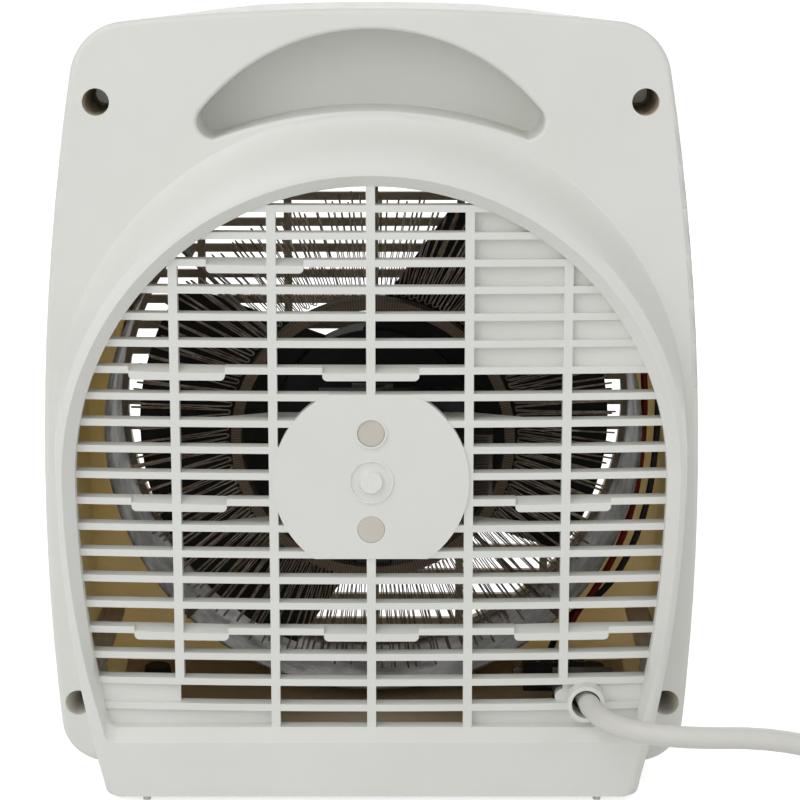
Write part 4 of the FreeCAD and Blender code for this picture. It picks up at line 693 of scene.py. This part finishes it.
def wound_coil():
    heart = traced("motor_coil", "coil_heart")
    open_mesh(heart)
    bpy.ops.transform.shrink_fatten(value=-HEART_INSET * MM)
    close_mesh()
    paint(heart, winding)
    (x0, y0), (x1, y1) = WINDING_LOW, WINDING_HIGH
    corners = [(x0, y0, (0, 1), (1, 0)), (x1, y0, (-1, 0), (0, 1)),
               (x1, y1, (0, -1), (-1, 0)), (x0, y1, (1, 0), (0, -1))]
    points = []
    for k in range(WINDING_TURNS):
        for j, (x, y, before, after) in enumerate(corners):
            height = WINDING_FOOT + WINDING_HEIGHT * (k + j / 4) / WINDING_TURNS
            for side in (before, (0, 0), after):
                points.append((x + WINDING_BEND * side[0], y + WINDING_BEND * side[1], height))
    turns_piece = strand("coil_turns", points, WINDING_WIRE, winding, 1)
    only(turns_piece)
    bpy.ops.object.convert(target="MESH")
    piece = joined("wound_coil", [heart, turns_piece])
    only(piece)
    bpy.ops.object.shade_smooth_by_angle(angle=math.radians(40))
    carry(piece, "casing", "winding", "motor_coil")


wound_coil()


# Heating element: a mica frame and hairpins of round wire between two radii

BAND_EDGE = 46.9
BAND_INNER = 45.4
BAND_OUTER = 49.4
HAIRPIN_COUNT = 114
HAIRPIN_FOOT = 50.3
HAIRPIN_REACH = (31.0, 35.2)
HAIRPIN_HALF = (0.1, 0.24)
HAIRPIN_SWAY = 0.7
HAIRPIN_SAG = 9.0
HAIRPIN_SCATTER = 2.4
HAIRPIN_RISE = 1.6
HAIRPIN_TIP = 1.3
HAIRPIN_PINCH = 0.8
HAIRPIN_WIRE = 0.22


def element_carrier():
    """The mica frame, with its inner band drawn in and woven."""
    piece = traced("element_frame", "mica_carrier")
    for vertex in piece.data.vertices:
        spoke = Vector((vertex.co.x, 0, vertex.co.z - AXIS_Z * MM))
        if spoke.length < BAND_EDGE * MM:
            vertex.co += spoke.normalized() * (BAND_INNER * MM - spoke.length)
    soften(piece, 0.2)
    paint(piece, mica, woven)
    for face in piece.data.polygons:
        reach = math.hypot(face.center.x, face.center.z - AXIS_Z * MM) / MM
        face.material_index = 1 if reach < BAND_OUTER else 0
    carry(piece, "casing", "mica", "element_frame")


def spoke_at(angle):
    return Vector((math.cos(math.radians(angle)), 0, math.sin(math.radians(angle))))


def hairpins(name, node, depth, phase, seed):
    """One circuit of narrow hairpins of thin wire that sag a little at the sides."""
    draw = random.Random(seed)
    points = []
    for k in range(HAIRPIN_COUNT - 1):
        middle = -90 + phase + 360 * (k + 0.75) / HAIRPIN_COUNT
        sag = HAIRPIN_SAG * math.cos(math.radians(middle))
        along = spoke_at(middle - sag + draw.uniform(-HAIRPIN_SCATTER, HAIRPIN_SCATTER))
        across = Vector((-along.z, 0, along.x))
        reach = draw.uniform(*HAIRPIN_REACH)
        sway = Vector((0, draw.uniform(-HAIRPIN_SWAY, HAIRPIN_SWAY), 0))
        half = draw.uniform(*HAIRPIN_HALF)
        foot_middle = spoke_at(middle) * HAIRPIN_FOOT
        for side in (-1, 1):
            foot = spoke_at(middle + side * 90 / HAIRPIN_COUNT) * HAIRPIN_FOOT
            beside = across * side * half
            leg = [foot,
                   foot + along * HAIRPIN_RISE,
                   foot_middle + along * (reach * 0.5) + beside + sway,
                   foot_middle + along * (reach - HAIRPIN_TIP) + beside,
                   foot_middle + along * reach + beside * HAIRPIN_PINCH]
            points += leg if side < 0 else leg[::-1]
    placed = [(p.x, p.y + depth, p.z + AXIS_Z) for p in points]
    piece = strand(name, placed, HAIRPIN_WIRE, wire, 1)
    only(piece)
    bpy.ops.object.convert(target="MESH")
    bpy.ops.object.shade_smooth()
    return carry(piece, "casing", "resistance_wire", node)


element_carrier()
hairpins("rear_hairpins", "element_wire_rear", -3.85, 0.0, 11)
hairpins("front_hairpins", "element_wire_front", 1.05, 1.4, 23)


# Plug with a ribbed tail, its pins and the tie of the coil

PLUG_X, PLUG_Z = 255.9, 12.5
PLUG_WIDTH, PLUG_HEIGHT = 35.0, 24.0
TAIL_START = -15.0
TAIL_LENGTH = 22.0
TAIL_RADIUS = 5.2
TAIL_RIBS = 6
RIB_FIRST, RIB_STEP = 0.1, 0.14
RIB_RING, RIB_ROUND = 0.94, 0.1
RIB_THICKNESS = 9.0
SLEEVE_END = 44.5


def moulded_plug():
    body = traced("plug_body", "plug_shell")
    soften(body, 1.8, 3, 18)
    ribs = []
    for k in range(TAIL_RIBS):
        share = RIB_FIRST + RIB_STEP * k
        wide = TAIL_RADIUS + (PLUG_WIDTH / 3 - TAIL_RADIUS) * share
        tall = TAIL_RADIUS + (PLUG_HEIGHT / 3 - TAIL_RADIUS) * share
        middle = (PLUG_X, TAIL_START + TAIL_LENGTH * share, PLUG_Z)
        bpy.ops.object.select_all(action="DESELECT")
        bpy.ops.mesh.primitive_torus_add(major_segments=32, minor_segments=8, major_radius=RIB_RING,
                                         minor_radius=RIB_ROUND, location=[c * MM for c in middle],
                                         rotation=(math.radians(90), 0, 0))
        bpy.context.object.scale = (wide * MM, tall * MM, RIB_THICKNESS * MM)
        ribs.append(settle(bpy.context.object, "rib"))
    piece = joined("moulded_plug", [body] + ribs)
    paint(piece, sheath)
    only(piece)
    bpy.ops.object.shade_smooth_by_angle(angle=math.radians(34))
    return carry(piece, "casing", "cord_white", "plug_body")


def sleeved_pins():
    piece = traced("plug_pins", "sleeved_pins")
    open_mesh(piece)
    cut_plane((0, SLEEVE_END, 0), (0, 1, 0))
    close_mesh()
    paint(piece, nickel, sheath)
    for face in piece.data.polygons:
        face.material_index = 1 if face.center.y < SLEEVE_END * MM else 0
    soften(piece, 1.0, 3)
    return carry(piece, "casing", "brass_pins", "plug_pins")


plug = moulded_plug()
pins = sleeved_pins()
coil_tie = dressed("cord_tie", "coil_strap", "casing", "tie_white", strap, 0.35)


# Mains cord: out of its ring, down to the floor beside the heater, and put away in a coil

CORD_ROUTE = [(70.3, -50.2, 34), (70.3, -76, 34), (80.8, -94.2, 34), (99, -101.5, 34), (126, -102, 34.5),
              (149, -102, 29), (166, -98.5, 13.5), (182, -95, 4.9), (199, -95, 4.9)]
CORD_RADIUS = 3.5
LEAD_OUT = (14.0, 33.0)
COIL_MIDDLE = (206.0, -47.0)
COIL_RADIUS = 48.0
COIL_PITCH = 7.7
COIL_STEP = COIL_PITCH / 4
COIL_LOW = 4.9
COIL_LAYER = 7.6
CLIMB_INWARD = 2.0
QUARTERS_IN = 9
QUARTERS_CLIMB = 2
QUARTERS_OUT = 10
POINTS_PER_QUARTER = 4


def coil_point(quarters):
    """A point of the coil: in on the lower layer, up in half a turn and out on the upper one."""
    inner = COIL_RADIUS - COIL_STEP * QUARTERS_IN
    if quarters <= QUARTERS_IN:
        radius, height = COIL_RADIUS - COIL_STEP * quarters, COIL_LOW
    elif quarters <= QUARTERS_IN + QUARTERS_CLIMB:
        part = (quarters - QUARTERS_IN) / QUARTERS_CLIMB
        radius = inner - CLIMB_INWARD * math.sin(math.pi * part) ** 2
        height = COIL_LOW + COIL_LAYER * (3 * part ** 2 - 2 * part ** 3)
    else:
        radius = inner + COIL_STEP * (quarters - QUARTERS_IN - QUARTERS_CLIMB)
        height = COIL_LOW + COIL_LAYER
    angle = math.radians(90 * quarters - 90)
    stretch = 1 / math.cos(math.pi / (4 * POINTS_PER_QUARTER)) ** 0.5
    reach = radius * stretch
    return (COIL_MIDDLE[0] + reach * math.cos(angle), COIL_MIDDLE[1] + reach * math.sin(angle), height)


coil_steps = (QUARTERS_IN + QUARTERS_CLIMB + QUARTERS_OUT) * POINTS_PER_QUARTER
coil_points = [coil_point(k / POINTS_PER_QUARTER) for k in range(coil_steps + 1)]
coil_end = coil_points[-1]
lead_out = [(coil_end[0], coil_end[1] + further, coil_end[2]) for further in LEAD_OUT]
mains_cord = strand("mains_cord", CORD_ROUTE + coil_points + lead_out, CORD_RADIUS, sheath, sides=5)
carry(mains_cord, "casing", "cord_white", "power_cord", "cord_coil")


# Inner leads

LEAD_RADIUS = 1.2
SUPPLY_HALF = 1.6


def lead(name, points, dress, slot, *nodes):
    piece = strand(name, points, LEAD_RADIUS, dress, sides=3)
    carry(piece, "casing", slot, *nodes)


def climbing_lead(foot, side, head):
    """The points of a lead from the block up the right wall to the thermostat."""
    return [(69 - foot, 21 + foot, 20.9), (70 - 0.4 * foot, 20.6 + foot, 33.9), (84.5 + side, 19, 46.5),
            (96 + side, 16, 72.5), (100 + side, 14, 102.5), (99.6 + side, 14, 134.5),
            (92.5 + side, 18, 164.5), (81 + side, 18.6, 190.5), (66 + head, 23.6, 214.5),
            (64 + head, 37.6, 222.5)]


def supply_lead(side):
    """The points of one of two leads from the cord's end to the block, which part on the way."""
    aside = SUPPLY_HALF * side
    return [(70.3 + aside, -50.2, 34), (70.3 + aside, -35.2, 32), (67 + aside, -12, 21.9),
            (65 + 2 * aside, 2, 15.9), (65 + 2 * aside, 14, 14.9)]


lead("thermostat_lead", climbing_lead(0.0, -4.2, 0.0), red, "lead_red", "red_lead")
lead("return_lead", climbing_lead(5.0, 0.6, 5.0), navy, "lead_dark", "dark_lead")
lead("supply_lead_left", supply_lead(-1), blue, "lead_blue", "supply_leads")
lead("supply_lead_right", supply_lead(1), brown, "lead_blue")


# Camera at the photograph's angle

CAMERA_PLACE = (0.00933, -0.8475, 0.3068)
CAMERA_DOWN = 12.375
LENS = 112.5
FILM_WIDTH = 36
eye = bpy.data.objects.new("camera", bpy.data.cameras.new("camera"))
bpy.context.scene.collection.objects.link(eye)
eye.location = CAMERA_PLACE
eye.rotation_euler = (math.radians(90 - CAMERA_DOWN), 0, 0)
eye.data.sensor_width = FILM_WIDTH
eye.data.lens = LENS
bpy.context.scene.camera = eye


# Floor, backdrop and soft light

FLOOR_COLOUR = (0.75, 0.75, 0.75, 1)
FLOOR_GLOW = 0.7
FLOOR_SIZE = 12
FLOOR_DROP = 0.0002
WHITE = (1, 1, 1, 1)
SKY_LIGHT = 0.52
BACKDROP_LIGHT = 1.0
HEATER_MIDDLE = (0, 0, 0.13)


def white_ground(name):
    """A pale ground that is white to the camera but keeps the shadow."""
    made = bpy.data.materials.new(name)
    made.use_nodes = True
    tree = made.node_tree
    tree.nodes.clear()
    path = place(tree, "ShaderNodeLightPath")
    passed_on = worked(tree, "MAXIMUM", path.outputs["Is Glossy Ray"], path.outputs["Is Transmission Ray"])
    looked = worked(tree, "MAXIMUM", path.outputs["Is Camera Ray"], passed_on)
    pale = place(tree, "ShaderNodeBsdfDiffuse", {"Color": FLOOR_COLOUR})
    glow = place(tree, "ShaderNodeEmission", {"Strength": worked(tree, "MULTIPLY", looked, FLOOR_GLOW)})
    both = place(tree, "ShaderNodeAddShader")
    tree.links.new(pale.outputs[0], both.inputs[0])
    tree.links.new(glow.outputs[0], both.inputs[1])
    put = place(tree, "ShaderNodeOutputMaterial")
    tree.links.new(both.outputs[0], put.inputs["Surface"])
    return made


bpy.ops.object.select_all(action="DESELECT")
bpy.ops.mesh.primitive_plane_add(size=FLOOR_SIZE, location=(0, 0, -FLOOR_DROP))
ground = settle(bpy.context.object, "floor")
paint(ground, white_ground("white floor"))

world = bpy.data.worlds.new("studio")
bpy.context.scene.world = world
world.use_nodes = True
sky = world.node_tree
sky.nodes.clear()
rays = place(sky, "ShaderNodeLightPath")
plain = place(sky, "ShaderNodeBackground", {"Color": WHITE, "Strength": SKY_LIGHT})
bright = place(sky, "ShaderNodeBackground", {"Color": WHITE, "Strength": BACKDROP_LIGHT})
choice = place(sky, "ShaderNodeMixShader", {"Fac": rays.outputs["Is Camera Ray"]})
sky.links.new(plain.outputs[0], choice.inputs[1])
sky.links.new(bright.outputs[0], choice.inputs[2])
sky.links.new(choice.outputs[0], place(sky, "ShaderNodeOutputWorld").inputs["Surface"])


def soft_box(name, size, power, location):
    """An area lamp that looks at the middle of the heater."""
    light = bpy.data.lights.new(name, "AREA")
    light.shape = "RECTANGLE"
    light.size = size[0]
    light.size_y = size[1]
    light.energy = power
    made = bpy.data.objects.new(name, light)
    bpy.context.scene.collection.objects.link(made)
    made.location = location
    made.rotation_euler = (Vector(HEATER_MIDDLE) - Vector(location)).to_track_quat("-Z", "Y").to_euler()


soft_box("key", (1.2, 1.2), 6, (-0.7, -0.75, 0.95))
soft_box("front", (1.2, 1.0), 2.2, (-0.35, -1.5, 0.55))
soft_box("fill", (1.0, 1.0), 2.0, (1.0, -0.75, 0.75))
soft_box("back", (1.4, 1.0), 6, (0.3, 1.5, 0.7))

bpy.context.scene.view_settings.view_transform = "Standard"
